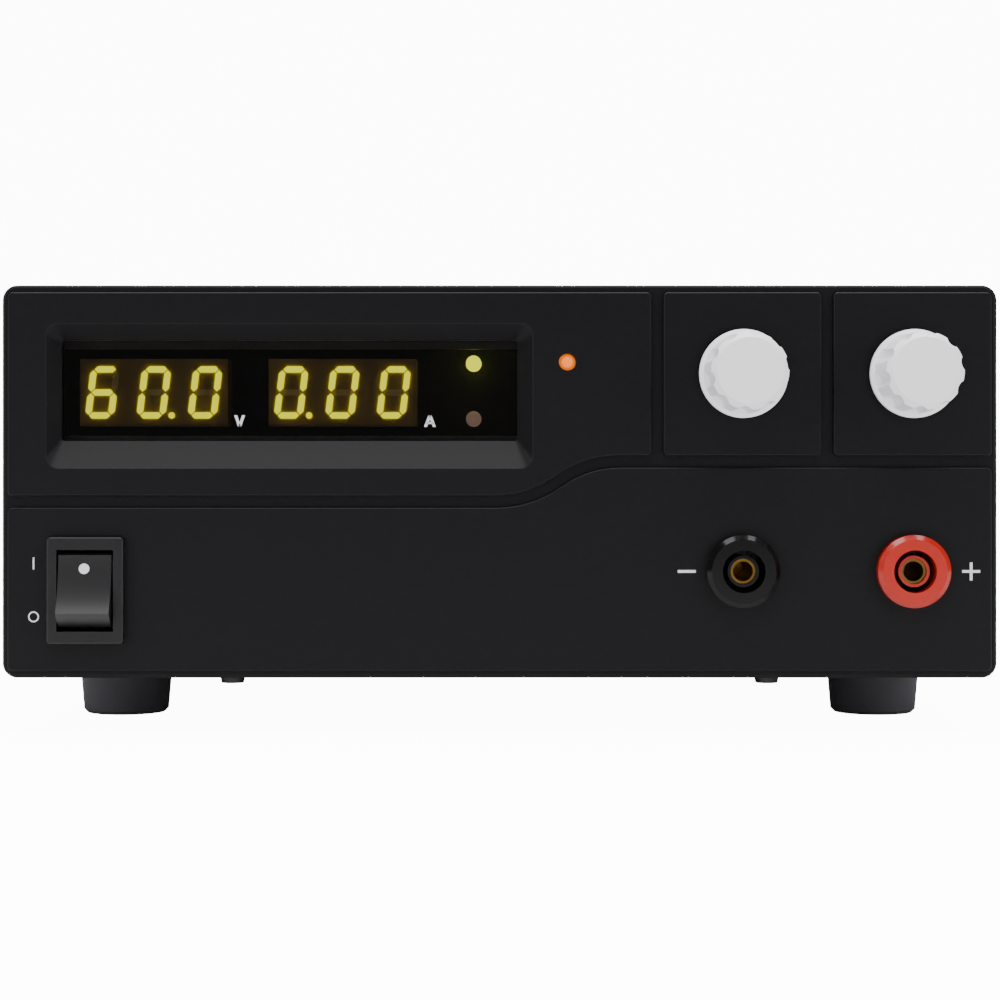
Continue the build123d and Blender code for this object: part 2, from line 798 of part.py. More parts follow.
# Top cover: one sheet folded over both sides, with rows of upright slots
with BuildPart() as top_cover:
    cover_x = case_half_width - sheet / 2
    folded_sheet(
        front_plane(rear_y),
        rear_y - case_front_y,
        (cover_x, case_bottom),
        (cover_x, case_top - sheet / 2),
        (-cover_x, case_top - sheet / 2),
        (-cover_x, case_bottom),
        bend=cover_bend,
    )
    with BuildSketch(Plane.YZ.offset(-case_half_width)):
        with Locations((face_y + slot_setback, case_bottom + slot_raise)):
            with GridLocations(slot_pitch, 0, slot_count, 1):
                SlotOverall(slot_length, slot_width, rotation=90)
    extrude(amount=2 * case_half_width, mode=Mode.SUBTRACT)
    for side in (-1, 1):
        for y in cover_screw_rows:
            sunk_hole((side * case_half_width, y, cover_screw_z), (side, 0, 0), sheet)
finish(top_cover.part, "top_cover")

# Small pan-head screws: bezel, front plate, front board and main board
with BuildPart() as case_screws:
    for x, z in bezel_boss_places:
        small_screw((x, plate_rear_y, z), (0, 1, 0))
    for x, y in front_screw_places:
        small_screw((x, y, case_bottom), (0, 0, -1))
    for x, z in spacer_places:
        small_screw((x, front_board_y + board_thickness, z), (0, 1, 0))
    for x, y in board_holes:
        small_screw((x, y, board_top), (0, 0, 1))
finish(case_screws.part, "case_screws")

# Countersunk screws: three in each side of the cover and two in the mains inlet's ears
with BuildPart() as sunk_screws:
    for side in (-1, 1):
        for y in cover_screw_rows:
            sunk_screw((side * case_half_width, y, cover_screw_z), (side, 0, 0))
    for x, z in inlet_ears:
        sunk_screw((x, rear_y + inlet_flange, z), (0, 1, 0))
finish(sunk_screws.part, "sunk_screws")

# Four round rubber feet and the screws in them
for row, y in foot_rows.items():
    for side, x in foot_sides.items():
        with BuildPart() as foot:
            turn(
                upright_profile(x, y, 0),
                (foot_recess_radius, 0),
                (foot_bottom_radius - foot_edge, 0),
                (foot_bottom_radius, foot_edge),
                (foot_top_radius, foot_height),
                (large_screw_hole, foot_height),
                (large_screw_hole, foot_height - foot_floor),
                (foot_recess_radius, foot_height - foot_floor),
            )
        finish(foot.part, f"foot_{row}_{side}")
with BuildPart() as foot_screws:
    for x, y in foot_places:
        large_screw((x, y, foot_height - foot_floor), (0, 0, -1))
finish(foot_screws.part, "foot_screws")

# Standoffs: four under the main board and three between the front plate and the front board
with BuildPart() as board_standoffs:
    with BuildSketch(Plane.XY.offset(floor_z)):
        with Locations(*board_holes):
            Circle(standoff_radius)
            Circle(screw_hole, mode=Mode.SUBTRACT)
    extrude(amount=standoff_height)
    with BuildSketch(front_plane(front_board_y)):
        with Locations(*spacer_places):
            Circle(standoff_radius)
            Circle(screw_hole, mode=Mode.SUBTRACT)
    extrude(amount=encoder_depth)
finish(board_standoffs.part, "board_standoffs")

# Knobs with their shafts, encoders and plungers
knob_base_y = face_y - (knob_reach - knob_height)
hub_depth = knob_height - knob_wall
shaft_end_y = plate_rear_y + shaft_engagement
flat_centre = shaft_radius - shaft_flat / 2
for name, x in {"voltage": voltage_x, "current": current_x}.items():
    with BuildPart() as knob:
        outline = panel_profile(x, knob_base_y, knob_z, FRONT)
        turn(
            outline,
            (0, 0),
            (knob_radius, 0),
            (knob_radius, knob_skirt),
            (knob_neck_radius, knob_skirt + knob_shoulder),
            (knob_tip_radius, knob_height - knob_edge),
            (knob_tip_radius - knob_edge, knob_height),
            (0, knob_height),
        )
        with BuildSketch(front_plane(knob_base_y - knob_skirt - knob_shoulder, x, knob_z)):
            with PolarLocations(
                knob_tip_radius - knob_flute_depth + knob_flute_radius,
                knob_flutes,
                start_angle=knob_phase,
            ):
                Circle(knob_flute_radius)
        extrude(amount=knob_height, mode=Mode.SUBTRACT)
        cavity_radius = knob_tip_radius - knob_flute_depth - knob_wall
        turn(
            outline,
            (0, 0),
            (cavity_radius + knob_wall / 2, 0),
            (cavity_radius, hub_depth),
            (0, hub_depth),
            mode=Mode.SUBTRACT,
        )
        with BuildSketch(front_plane(knob_base_y - hub_setback, x, knob_z)):
            Circle(hub_radius)
            Circle(shaft_radius + running_gap, mode=Mode.SUBTRACT)
            with Locations((0, flat_centre + running_gap)):
                Rectangle(2 * shaft_radius, shaft_flat)
        extrude(amount=hub_depth - hub_setback)
    finish(knob.part, f"{name}_knob")

    with BuildPart() as shaft:
        with BuildSketch(front_plane(shaft_end_y, x, knob_z)):
            Circle(shaft_radius)
        extrude(amount=shaft_end_y - (knob_base_y - hub_depth))
        with BuildSketch(front_plane(knob_base_y - hub_depth, x, knob_z)):
            with Locations((0, flat_centre)):
                Rectangle(2 * shaft_radius, shaft_flat)
        extrude(amount=-hub_depth, mode=Mode.SUBTRACT)
    finish(shaft.part, f"{name}_shaft")

    with BuildPart() as encoder:
        with BuildSketch(front_plane(front_board_y, x, knob_z)):
            Rectangle(encoder_side, encoder_side)
        extrude(amount=encoder_depth)
        with BuildSketch(front_plane(plate_rear_y, x, knob_z)):
            Circle(bushing_radius)
        extrude(amount=sheet + bushing_reach)
        with BuildSketch(front_plane(front_board_y - encoder_back, x, knob_z)):
            Circle(shaft_radius + running_gap)
        extrude(amount=encoder_depth + sheet + bushing_reach, mode=Mode.SUBTRACT)
    finish(encoder.part, f"{name}_encoder")

    with BuildPart() as plunger:
        with BuildSketch(front_plane(shaft_end_y + plunger_length, x, knob_z)):
            Circle(shaft_radius)
        extrude(amount=plunger_length)
    finish(plunger.part, f"{name}_plunger")

with BuildPart() as encoder_nuts:
    with BuildSketch(front_plane(plate_y)):
        with Locations(*[(x, knob_z) for x in columns]):
            RegularPolygon(encoder_nut_radius, 6)
            Circle(bushing_radius + running_gap, mode=Mode.SUBTRACT)
    extrude(amount=encoder_nut_height)
finish(encoder_nuts.part, "encoder_nuts")

# Power switch: a flanged body, the rocker on its two pins, and four blade terminals
rocker_y = face_y - switch_flange + rocker_setback
with BuildPart() as power_switch_frame:
    with BuildSketch(front_plane(face_y, switch_x, switch_z)):
        RectangleRounded(switch_width, switch_height, switch_corner)
    extrude(amount=switch_flange)
    fillet(power_switch_frame.faces().sort_by(Axis.Y)[0].edges(), radius=switch_corner / 2)
    with BuildSketch(front_plane(face_y, switch_x, switch_z)):
        Rectangle(switch_body_width, switch_body_height)
    extrude(amount=-switch_body_depth)
    with BuildSketch(front_plane(face_y - switch_flange, switch_x, switch_z)):
        Rectangle(switch_mouth_width, switch_mouth_height)
    extrude(amount=-switch_mouth_depth, mode=Mode.SUBTRACT)
    with BuildSketch(Plane.YZ.offset(switch_x - switch_body_width / 2)):
        with Locations((rocker_y, switch_z)):
            Circle(rocker_pin_radius + running_gap)
    extrude(amount=switch_body_width, mode=Mode.SUBTRACT)
    with BuildSketch(front_plane(face_y + switch_body_depth, switch_x, switch_z)):
        with GridLocations(terminal_pitch, 2 * terminal_pitch, 2, 2):
            Rectangle(terminal_thickness + 2 * running_gap, terminal_width + 2 * running_gap)
    extrude(amount=terminal_embedded, mode=Mode.SUBTRACT)
finish(power_switch_frame.part, "power_switch_frame")

rocker_width = switch_mouth_width - 2 * moving_gap
with BuildPart() as power_switch_rocker:
    rocker_side = Plane(
        origin=(switch_x - rocker_width / 2, rocker_y, switch_z),
        x_dir=(0, cos(radians(rocker_tilt)), -sin(radians(rocker_tilt))),
        z_dir=(1, 0, 0),
    )
    with BuildSketch(rocker_side):
        with BuildLine():
            end_arc = rocker_back_angle - rocker_half_angle
            upper = CenterArc((0, 0), rocker_radius, 180 - rocker_back_angle, end_arc)
            lower = CenterArc((0, 0), rocker_radius, 180 + rocker_half_angle, end_arc)
            middle = rocker_hollow - rocker_radius * cos(radians(rocker_half_angle))
            ThreePointArc(upper @ 1, (middle, 0), lower @ 0)
            Line(lower @ 1, upper @ 0)
        make_face()
    extrude(amount=rocker_width)
    for side in (-1, 1):
        with BuildSketch(Plane.YZ.offset(switch_x + side * rocker_width / 2)):
            with Locations((rocker_y, switch_z)):
                Circle(rocker_pin_radius)
        extrude(amount=side * rocker_pin_length)
finish(power_switch_rocker.part, "power_switch_rocker")

with BuildPart() as power_switch_terminals:
    with BuildSketch(front_plane(face_y + switch_body_depth - terminal_embedded, switch_x, switch_z)):
        with GridLocations(terminal_pitch, 2 * terminal_pitch, 2, 2):
            Rectangle(terminal_thickness, terminal_width)
    extrude(amount=-(terminal_length + terminal_embedded))
finish(power_switch_terminals.part, "power_switch_terminals")

# Front safety sockets: the insulated body with its inner sleeve, and the turned contact inside it
contact_radius = contact_bore + contact_wall
sleeve_bore = contact_radius + running_gap
tail_bore = contact_tail_radius + running_gap
well_floor = socket_floor - socket_depth
contact_front = socket_flange - contact_setback
for name, x in {"negative": voltage_x, "positive": current_x}.items():
    outline = panel_profile(x, face_y, socket_z, FRONT)
    with BuildPart() as socket:
        turn(
            outline,
            (tail_bore, -socket_depth),
            (socket_barrel_radius, -socket_depth),
            (socket_barrel_radius, 0),
            (socket_flange_radius, 0),
            (socket_flange_radius, socket_flange - socket_flange_edge),
            (socket_flange_radius - socket_flange_edge, socket_flange),
            (socket_well_radius, socket_flange),
            (socket_well_radius, well_floor),
            (socket_sleeve_radius, well_floor),
            (socket_sleeve_radius, socket_flange - socket_sleeve_setback),
            (sleeve_bore, socket_flange - socket_sleeve_setback),
            (sleeve_bore, well_floor),
            (tail_bore, well_floor),
        )
    finish(socket.part, f"{name}_socket")
    with BuildPart() as contact:
        turn(
            outline,
            (contact_bore, contact_front),
            (contact_radius, contact_front),
            (contact_radius, well_floor),
            (contact_tail_radius, well_floor),
            (contact_tail_radius, -socket_depth - contact_tail),
            (0, -socket_depth - contact_tail),
            (0, contact_front - contact_bore_depth),
            (contact_bore, contact_front - contact_bore_depth),
        )
    finish(contact.part, f"{name}_socket_contact")

# Nuts behind the front sockets and behind the binding posts
post_washer_y = rear_inner_y - post_washer
with BuildPart() as terminal_nuts:
    with BuildSketch(front_plane(plate_rear_y)):
        with Locations(*[(x, socket_z) for x in columns]):
            RegularPolygon(socket_nut_radius, 6)
            Circle(socket_barrel_radius + running_gap, mode=Mode.SUBTRACT)
    extrude(amount=-socket_nut_height)
    with BuildSketch(front_plane(post_washer_y)):
        with Locations(*[(x, post_z) for x in post_columns.values()]):
            RegularPolygon(post_nut_radius, 6)
            Circle(post_tail_radius + running_gap, mode=Mode.SUBTRACT)
    extrude(amount=post_nut_height)
finish(terminal_nuts.part, "terminal_nuts")

# Digit displays: two three-digit modules, with the lit segments on their faces
window_left = window_x - window_width / 2
voltage_module_x = window_left + module_inset + module_width / 2
current_module_x = voltage_module_x + module_width + module_spacing
with BuildPart() as digit_displays:
    with BuildSketch(front_plane(front_board_y)):
        with Locations((voltage_module_x, module_z), (current_module_x, module_z)):
            Rectangle(module_width, module_height)
    extrude(amount=front_board_y - module_y)
finish(digit_displays.part, "digit_displays")

digit_a = (digit_width - segment_width) / 2
digit_b = (digit_height - segment_width) / 2
segment_ends = {
    "a": ((-digit_a, digit_b), (digit_a, digit_b)),
    "b": ((digit_a, digit_b), (digit_a, 0)),
    "c": ((digit_a, 0), (digit_a, -digit_b)),
    "d": ((-digit_a, -digit_b), (digit_a, -digit_b)),
    "e": ((-digit_a, 0), (-digit_a, -digit_b)),
    "f": ((-digit_a, digit_b), (-digit_a, 0)),
    "g": ((-digit_a, 0), (digit_a, 0)),
}
digit_segments = {"0": "abcdef", "6": "acdefg"}


def slanted(x, y):
    """A point of an upright digit, leaned over by the digits' slant."""
    return (x + y * tan(radians(digit_slant)), y)


def segment_outline(start, end):
    """The six corners of one segment between two corners of the digit."""
    length = abs(end[0] - start[0]) + abs(end[1] - start[1])
    along = ((end[0] - start[0]) / length, (end[1] - start[1]) / length)
    half = segment_width / 2
    corners = []
    for distance, offset in (
        (segment_gap, 0),
        (segment_gap + half, half),
        (length - segment_gap - half, half),
        (length - segment_gap, 0),
        (length - segment_gap - half, -half),
        (segment_gap + half, -half),
    ):
        x = start[0] + along[0] * distance - along[1] * offset
        y = start[1] + along[1] * distance + along[0] * offset
        corners.append(slanted(x, y))
    return corners


point_x, point_y = slanted(digit_width / 2 + 2 * point_radius, point_radius - digit_height / 2)
with BuildPart() as lit_segments:
    with BuildSketch(front_plane(module_y)):
        for module_x, digits, point_place in (
            (voltage_module_x, "600", 0),
            (current_module_x, "000", -1),
        ):
            for place, digit in enumerate(digits, start=-1):
                with Locations((module_x + place * digit_pitch, module_z)):
                    for segment in digit_segments[digit]:
                        Polygon(*segment_outline(*segment_ends[segment]), align=None)
            with Locations((module_x + point_place * digit_pitch + point_x, module_z + point_y)):
                Circle(point_radius)
    extrude(amount=segment_rise)
finish(lit_segments.part, "lit_segments")


# Lamps: a domed body with a flange and two square leads down to the front board
def lamp(name, x, z, tip_y):
    flange_y = tip_y + lamp_length
    with BuildPart() as lamp_part:
        turn(
            panel_profile(x, flange_y, z, FRONT),
            (0, 0),
            (lamp_flange_radius, 0),
            (lamp_flange_radius, lamp_flange),
            (lamp_radius, lamp_flange),
            (lamp_radius, lamp_length - lamp_dome),
            (lamp_radius * 0.8, lamp_length - lamp_dome / 3),
            (lamp_radius * 0.4, lamp_length),
            (0, lamp_length),
        )
        with BuildSketch(front_plane(flange_y, x, z)):
            with GridLocations(lead_spacing, 0, 2, 1):
                Rectangle(lead_side, lead_side)
        extrude(amount=-(front_board_y - flange_y))
    finish(lamp_part.part, name)


lamp("cv_lamp", lamp_x, cv_lamp_z, module_y)
lamp("cc_lamp", lamp_x, cc_lamp_z, module_y)
lamp("rear_control_lamp", rear_lamp_x, rear_lamp_z, face_y + rear_lamp_setback)

# Front board, behind the encoders and the displays
with BuildPart() as display_board:
    board_middle = (front_board_top + front_board_bottom) / 2
    with BuildSketch(front_plane(front_board_y + board_thickness, 0, board_middle)):
        Rectangle(
            bezel_width - 2 * front_board_side_margin, front_board_top - front_board_bottom
        )
    extrude(amount=board_thickness)
    with BuildSketch(front_plane(front_board_y + board_thickness)):
        with Locations(*spacer_places):
            Circle(screw_hole)
    extrude(amount=board_thickness, mode=Mode.SUBTRACT)
finish(display_board.part, "display_board")

# Fan: frame with its motor plate, seven-blade rotor, guard and four screws
fan_front_y = rear_inner_y - fan_depth
motor_y = fan_front_y + fan_motor_depth
rotor_front_y = motor_y + fan_motor_gap
rotor_rear_y = rear_inner_y - fan_blade_setback
rotor_depth = rotor_rear_y - rotor_front_y
with BuildPart() as fan_frame:
    with BuildSketch(front_plane(rear_inner_y, fan_x, fan_z)):
        RectangleRounded(fan_side, fan_side, fan_corner)
        Circle(fan_duct_radius, mode=Mode.SUBTRACT)
        with GridLocations(fan_hole_pitch, fan_hole_pitch, 2, 2):
            Circle(large_screw_hole, mode=Mode.SUBTRACT)
    extrude(amount=fan_depth)
    with BuildSketch(front_plane(motor_y, fan_x, fan_z)):
        Circle(fan_hub_radius)
        strut_length = fan_duct_radius + fan_strut_overlap
        with PolarLocations(strut_length / 2, fan_struts, start_angle=45):
            Rectangle(strut_length, fan_strut)
    extrude(amount=fan_motor_depth)
    with BuildSketch(front_plane(motor_y, fan_x, fan_z)):
        Circle(fan_shaft_radius + running_gap)
    extrude(amount=fan_shaft_length + running_gap, mode=Mode.SUBTRACT)
finish(fan_frame.part, "fan_frame")

with BuildPart() as fan_rotor:
    blade_middle = Vector(fan_x, (rotor_front_y + rotor_rear_y) / 2, fan_z)
    blade_span = rotor_depth - 2 * fan_blade_thickness
    for index in range(fan_blades):
        blade_angle = radians(360 * index / fan_blades)
        outwards = Vector(cos(blade_angle), 0, sin(blade_angle))
        for reach, lean in (
            (fan_hub_radius - fan_hub_edge, fan_root_angle),
            (fan_duct_radius, fan_tip_angle),
        ):
            section = Plane(origin=blade_middle + outwards * reach, x_dir=(0, 1, 0), z_dir=outwards)
            with BuildSketch(section):
                Rectangle(blade_span / sin(radians(lean)), fan_blade_thickness, rotation=90 - lean)
        loft()
    with BuildSketch(front_plane(rotor_rear_y, fan_x, fan_z)):
        Circle(fan_duct_radius - fan_blade_clearance)
    extrude(amount=rotor_depth, mode=Mode.INTERSECT)
    turn(
        panel_profile(fan_x, rotor_front_y, fan_z, REAR),
        (0, -fan_shaft_length),
        (fan_shaft_radius, -fan_shaft_length),
        (fan_shaft_radius, 0),
        (fan_hub_radius, 0),
        (fan_hub_radius, rotor_depth - fan_hub_edge),
        (fan_hub_radius - fan_hub_edge, rotor_depth),
        (0, rotor_depth),
    )
finish(fan_rotor.part, "fan_rotor")

with BuildPart() as fan_guard:
    ring_step = (guard_outer_radius - guard_inner_radius) / (guard_rings - 1)
    with BuildSketch(front_plane(rear_y + guard_standoff + guard_wire, fan_x, fan_z)):
        for index in range(guard_rings):
            ring_radius = guard_outer_radius - index * ring_step
            Circle(ring_radius + guard_wire / 2)
            Circle(ring_radius - guard_wire / 2, mode=Mode.SUBTRACT)
    extrude(amount=guard_wire)
    eye_reach = fan_hole_pitch * sin(radians(45))
    with BuildSketch(front_plane(rear_y + guard_standoff, fan_x, fan_z)):
        for angle in (45, -45):
            Rectangle(2 * (eye_reach - large_screw_hole), guard_wire, rotation=angle)
    extrude(amount=guard_wire)
    with BuildSketch(front_plane(rear_y + guard_wire, fan_x, fan_z)):
        with GridLocations(fan_hole_pitch, fan_hole_pitch, 2, 2):
            Circle(guard_eye_radius)
            Circle(large_screw_hole, mode=Mode.SUBTRACT)
    extrude(amount=guard_wire)
finish(fan_guard.part, "fan_guard")

with BuildPart() as fan_screws:
    for i in (-1, 1):
        for j in (-1, 1):
            hole_x = fan_x + i * fan_hole_pitch / 2
            hole_z = fan_z + j * fan_hole_pitch / 2
            large_screw((hole_x, rear_y + guard_standoff, hole_z), (0, 1, 0))
finish(fan_screws.part, "fan_screws")

# Mains inlet: flanged body with its mouth and the drawer's slot, three pins, the drawer and its fuse
inlet_front_y = rear_y + inlet_flange
mouth_z = inlet_z - inlet_mouth_drop
mouth_floor_y = inlet_front_y - inlet_mouth_depth
drawer_z = inlet_z + drawer_raise
pin_places = [(-pin_spacing, -pin_offset), (0, pin_offset), (pin_spacing, -pin_offset)]
with BuildPart() as mains_inlet:
    with BuildSketch(front_plane(inlet_front_y, inlet_x, inlet_z)):
        RectangleRounded(
            inlet_body_width + 2 * inlet_flange_margin, inlet_flange_height, inlet_corner
        )
        RectangleRounded(inlet_flange_width, inlet_ear_height, inlet_corner)
    extrude(amount=inlet_flange)
    with BuildSketch(front_plane(rear_y, inlet_x, inlet_z)):
        Rectangle(inlet_body_width, inlet_body_height)
    extrude(amount=inlet_body_depth)
    with BuildSketch(front_plane(inlet_front_y, inlet_x, mouth_z)) as mouth:
        Rectangle(inlet_mouth_width, inlet_mouth_height)
        chamfer(mouth.vertices().group_by(Axis.Y)[-1], length=inlet_mouth_bevel)
    extrude(amount=inlet_mouth_depth, mode=Mode.SUBTRACT)
    with BuildSketch(front_plane(mouth_floor_y, inlet_x, mouth_z)):
        with Locations(*pin_places):
            Rectangle(pin_width + 2 * running_gap, pin_height + 2 * running_gap)
    extrude(amount=inlet_body_depth, mode=Mode.SUBTRACT)
    with BuildSketch(front_plane(inlet_front_y, inlet_x, drawer_z)):
        Rectangle(drawer_width + 2 * fit_gap, drawer_height + 2 * fit_gap)
    extrude(amount=drawer_depth + fit_gap, mode=Mode.SUBTRACT)
    for x, z in inlet_ears:
        sunk_hole((x, inlet_front_y, z), (0, 1, 0), inlet_flange)
finish(mains_inlet.part, "mains_inlet")

with BuildPart() as inlet_pins:
    with BuildSketch(front_plane(mouth_floor_y + pin_length, inlet_x, mouth_z)):
        with Locations(*pin_places):
            Rectangle(pin_width, pin_height)
    extrude(amount=mouth_floor_y + pin_length - (rear_y - inlet_body_depth - pin_tail))
finish(inlet_pins.part, "inlet_pins")

fuse_y = inlet_front_y - drawer_front_wall - fit_gap - fuse_radius
with BuildPart() as fuse_drawer:
    with BuildSketch(front_plane(inlet_front_y + drawer_lip, inlet_x, drawer_z)):
        RectangleRounded(
            drawer_width + 2 * drawer_lip_margin, drawer_height + 2 * drawer_lip_margin, fit_gap * 4
        )
    extrude(amount=drawer_lip)
    with BuildSketch(front_plane(inlet_front_y, inlet_x, drawer_z)):
        Rectangle(drawer_width, drawer_height)
    extrude(amount=drawer_depth)
    with BuildSketch(Plane(origin=(inlet_x, fuse_y, drawer_z - drawer_height / 2 + drawer_floor))):
        Rectangle(fuse_length + 2 * fit_gap, 2 * (fuse_radius + fit_gap))
    extrude(amount=drawer_height, mode=Mode.SUBTRACT)
finish(fuse_drawer.part, "fuse_drawer")

with BuildPart() as mains_fuse:
    fuse_z = drawer_z - drawer_height / 2 + drawer_floor + running_gap + fuse_radius
    for start, length, radius in (
        (-fuse_length / 2, fuse_cap, fuse_radius),
        (fuse_cap - fuse_length / 2, fuse_length - 2 * fuse_cap, fuse_glass_radius),
        (fuse_length / 2 - fuse_cap, fuse_cap, fuse_radius),
    ):
        with BuildSketch(Plane.YZ.offset(inlet_x + start)):
            with Locations((fuse_y, fuse_z)):
                Circle(radius)
        extrude(amount=length)
finish(mains_fuse.part, "mains_fuse")

# Binding posts: insulating base and washer, stud, and the collar and cap that clamp a wire
stud_bore = post_stud_radius + running_gap
base_bore = post_tail_radius + running_gap
collar_start = post_base + post_flange
cap_start = collar_start + post_collar
stud_tip = post_reach - post_tip_setback
for name, x in post_columns.items():
    outline = panel_profile(x, rear_y, post_z, REAR)
    with BuildPart() as base:
        turn(
            outline,
            (base_bore, post_base),
            (post_base_radius - post_base_edge, post_base),
            (post_base_radius, post_base - post_base_edge),
            (post_base_radius, 0),
            (post_spigot_radius, 0),
            (post_spigot_radius, sheet_gap - sheet),
            (base_bore, sheet_gap - sheet),
        )
        turn(
            outline,
            (base_bore, -sheet),
            (post_washer_radius, -sheet),
            (post_washer_radius, -sheet - post_washer),
            (base_bore, -sheet - post_washer),
        )
    finish(base.part, f"{name}_post_base")
    with BuildPart() as stud:
        turn(
            outline,
            (0, -post_tail),
            (post_tail_radius, -post_tail),
            (post_tail_radius, post_base),
            (post_flange_radius, post_base),
            (post_flange_radius, collar_start),
            (post_stud_radius, collar_start),
            (post_stud_radius, stud_tip),
            (post_bore, stud_tip),
            (post_bore, stud_tip - post_bore_depth),
            (0, stud_tip - post_bore_depth),
        )
    finish(stud.part, f"{name}_post_stud")
    with BuildPart() as collar:
        turn(
            outline,
            (stud_bore, collar_start),
            (post_collar_radius, collar_start),
            (post_collar_radius, cap_start),
            (stud_bore, cap_start),
        )
    finish(collar.part, f"{name}_post_collar")
    with BuildPart() as cap:
        turn(
            outline,
            (stud_bore, cap_start),
            (post_cap_radius, cap_start),
            (post_cap_radius, post_reach - post_cap_edge),
            (post_cap_radius - post_cap_edge, post_reach),
            (stud_bore, post_reach),
        )
        with BuildSketch(front_plane(rear_y + post_reach, x, post_z)):
            with PolarLocations(
                post_cap_radius - post_flute_depth + post_flute_radius, post_cap_flutes
            ):
                Circle(post_flute_radius)
        extrude(amount=post_reach - cap_start, mode=Mode.SUBTRACT)
    finish(cap.part, f"{name}_post_cap")

# Slide switch: a body behind the rear wall and the slider that reaches out through the slot
foot_half_width = mode_slider_width / 2 + mode_foot_margin
foot_half_height = mode_slider_height / 2 + mode_foot_margin
with BuildPart() as mode_switch:
    with BuildSketch(front_plane(rear_inner_y, mode_x, mode_z)):
        Rectangle(mode_body_width, mode_body_height)
    extrude(amount=mode_body_depth)
    with BuildSketch(front_plane(rear_inner_y, mode_x, mode_z)):
        Rectangle(
            2 * (foot_half_width + mode_travel + moving_gap), 2 * (foot_half_height + moving_gap)
        )
    extrude(amount=mode_foot_thickness + 2 * moving_gap, mode=Mode.SUBTRACT)
finish(mode_switch.part, "mode_switch")

with BuildPart() as mode_slider:
    foot_y = rear_inner_y - moving_gap
    with BuildSketch(front_plane(foot_y, mode_x, mode_z)):
        Rectangle(2 * foot_half_width, 2 * foot_half_height)
    extrude(amount=mode_foot_thickness)
    with BuildSketch(front_plane(foot_y, mode_x, mode_z)):
        Rectangle(mode_slider_width, mode_slider_height)
    extrude(amount=-(rear_y + mode_slider_reach - foot_y))
finish(mode_slider.part, "mode_slider")

# Control socket: a threaded round body with eight pins in its mouth
mouth_floor = control_reach - control_mouth_depth
with BuildPart() as control_socket:
    turn(
        panel_profile(control_x, rear_y, control_z, REAR),
        (0, -control_tail),
        (control_thread_radius, -control_tail),
        (control_thread_radius, 0),
        (control_radius, 0),
        (control_radius, control_flange),
        (control_thread_radius, control_flange),
        (control_thread_radius, control_reach),
        (control_mouth_radius, control_reach),
        (control_mouth_radius, mouth_floor),
        (0, mouth_floor),
    )
    with BuildSketch(front_plane(rear_y + mouth_floor, control_x, control_z)):
        Circle(control_pin_radius)
        with PolarLocations(control_pin_circle, control_pins):
            Circle(control_pin_radius)
    extrude(amount=-control_pin_length)
finish(control_socket.part, "control_socket")

# Main board and the parts on it: heat sinks, power transistors, transformer and capacitors
with BuildPart() as main_board:
    with BuildSketch(Plane.XY.offset(board_z)):
        with Locations((0, board_y)):
            Rectangle(main_board_width, main_board_depth)
        with Locations(*board_holes):
            Circle(screw_hole, mode=Mode.SUBTRACT)
    extrude(amount=board_thickness)
finish(main_board.part, "main_board")

fin_pitch = (sink_length - sink_fin) / (sink_fins - 1)
with BuildPart() as heat_sinks:
    with BuildSketch(Plane.XY.offset(board_top)):
        for side in (-1, 1):
            with Locations((side * (sink_x + sink_base / 2), board_y)):
                Rectangle(sink_base, sink_length)
            with Locations((side * (sink_x + sink_base + sink_fin_length / 2), board_y)):
                with GridLocations(0, fin_pitch, 1, sink_fins):
                    Rectangle(sink_fin_length, sink_fin)
    extrude(amount=sink_height)
finish(heat_sinks.part, "heat_sinks")

with BuildPart() as power_transistors:
    body_x = sink_x - transistor_depth / 2
    with BuildSketch(Plane.XY.offset(board_top + transistor_lead)):
        with Locations((-body_x, board_y), (body_x, board_y)):
            with GridLocations(0, transistor_spacing, 1, transistors):
                Rectangle(transistor_depth, transistor_width)
    extrude(amount=transistor_height)
    with BuildSketch(Plane.XY.offset(board_top)):
        with Locations((-body_x, board_y), (body_x, board_y)):
            with GridLocations(0, transistor_spacing, 1, transistors):
                with GridLocations(0, transistor_lead_spacing, 1, 3):
                    Rectangle(transistor_lead_thickness, transistor_lead_width)
    extrude(amount=transistor_lead)
finish(power_transistors.part, "power_transistors")

core_y = board_y - core_setback
core_window = (core_width - 2 * core_leg - core_centre) / 2
coil_height = core_height - 2 * core_leg
with BuildPart() as transformer:
    with BuildSketch(front_plane(core_y + core_depth / 2, 0, board_top + core_height / 2)):
        Rectangle(core_width, core_height)
        with GridLocations(core_centre + core_window, 0, 2, 1):
            Rectangle(core_window, coil_height, mode=Mode.SUBTRACT)
    extrude(amount=core_depth)
    with BuildSketch(Plane(origin=(0, core_y, board_top + core_leg))):
        RectangleRounded(core_centre + 2 * coil_wall, core_depth + 2 * coil_wall, coil_corner)
        Rectangle(core_centre + 2 * fit_gap, core_depth + 2 * fit_gap, mode=Mode.SUBTRACT)
    extrude(amount=coil_height)
finish(transformer.part, "transformer")

with BuildPart() as capacitors:
    for side, cans, radius, height in (
        (-1, bulk_cans, bulk_radius, bulk_height),
        (1, output_cans, output_radius, output_height),
    ):
        for index in range(cans):
            can_y = board_y + (index - (cans - 1) / 2) * can_spacing
            turn(
                upright_profile(side * can_x, can_y, board_top),
                (0, 0),
                (radius, 0),
                (radius, 4 * can_groove),
                (radius - can_groove, 5 * can_groove),
                (radius, 6 * can_groove),
                (radius, height - can_groove),
                (radius - can_groove, height),
                (0, height),
            )
finish(capacitors.part, "capacitors")
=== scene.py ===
"""Finishes, printed marks, screws and the photograph's view of a bench power supply."""

from math import cos, hypot, pi, radians, sin, tan

import bmesh
import bpy
from mathutils import Matrix, Vector
from mathutils.bvhtree import BVHTree


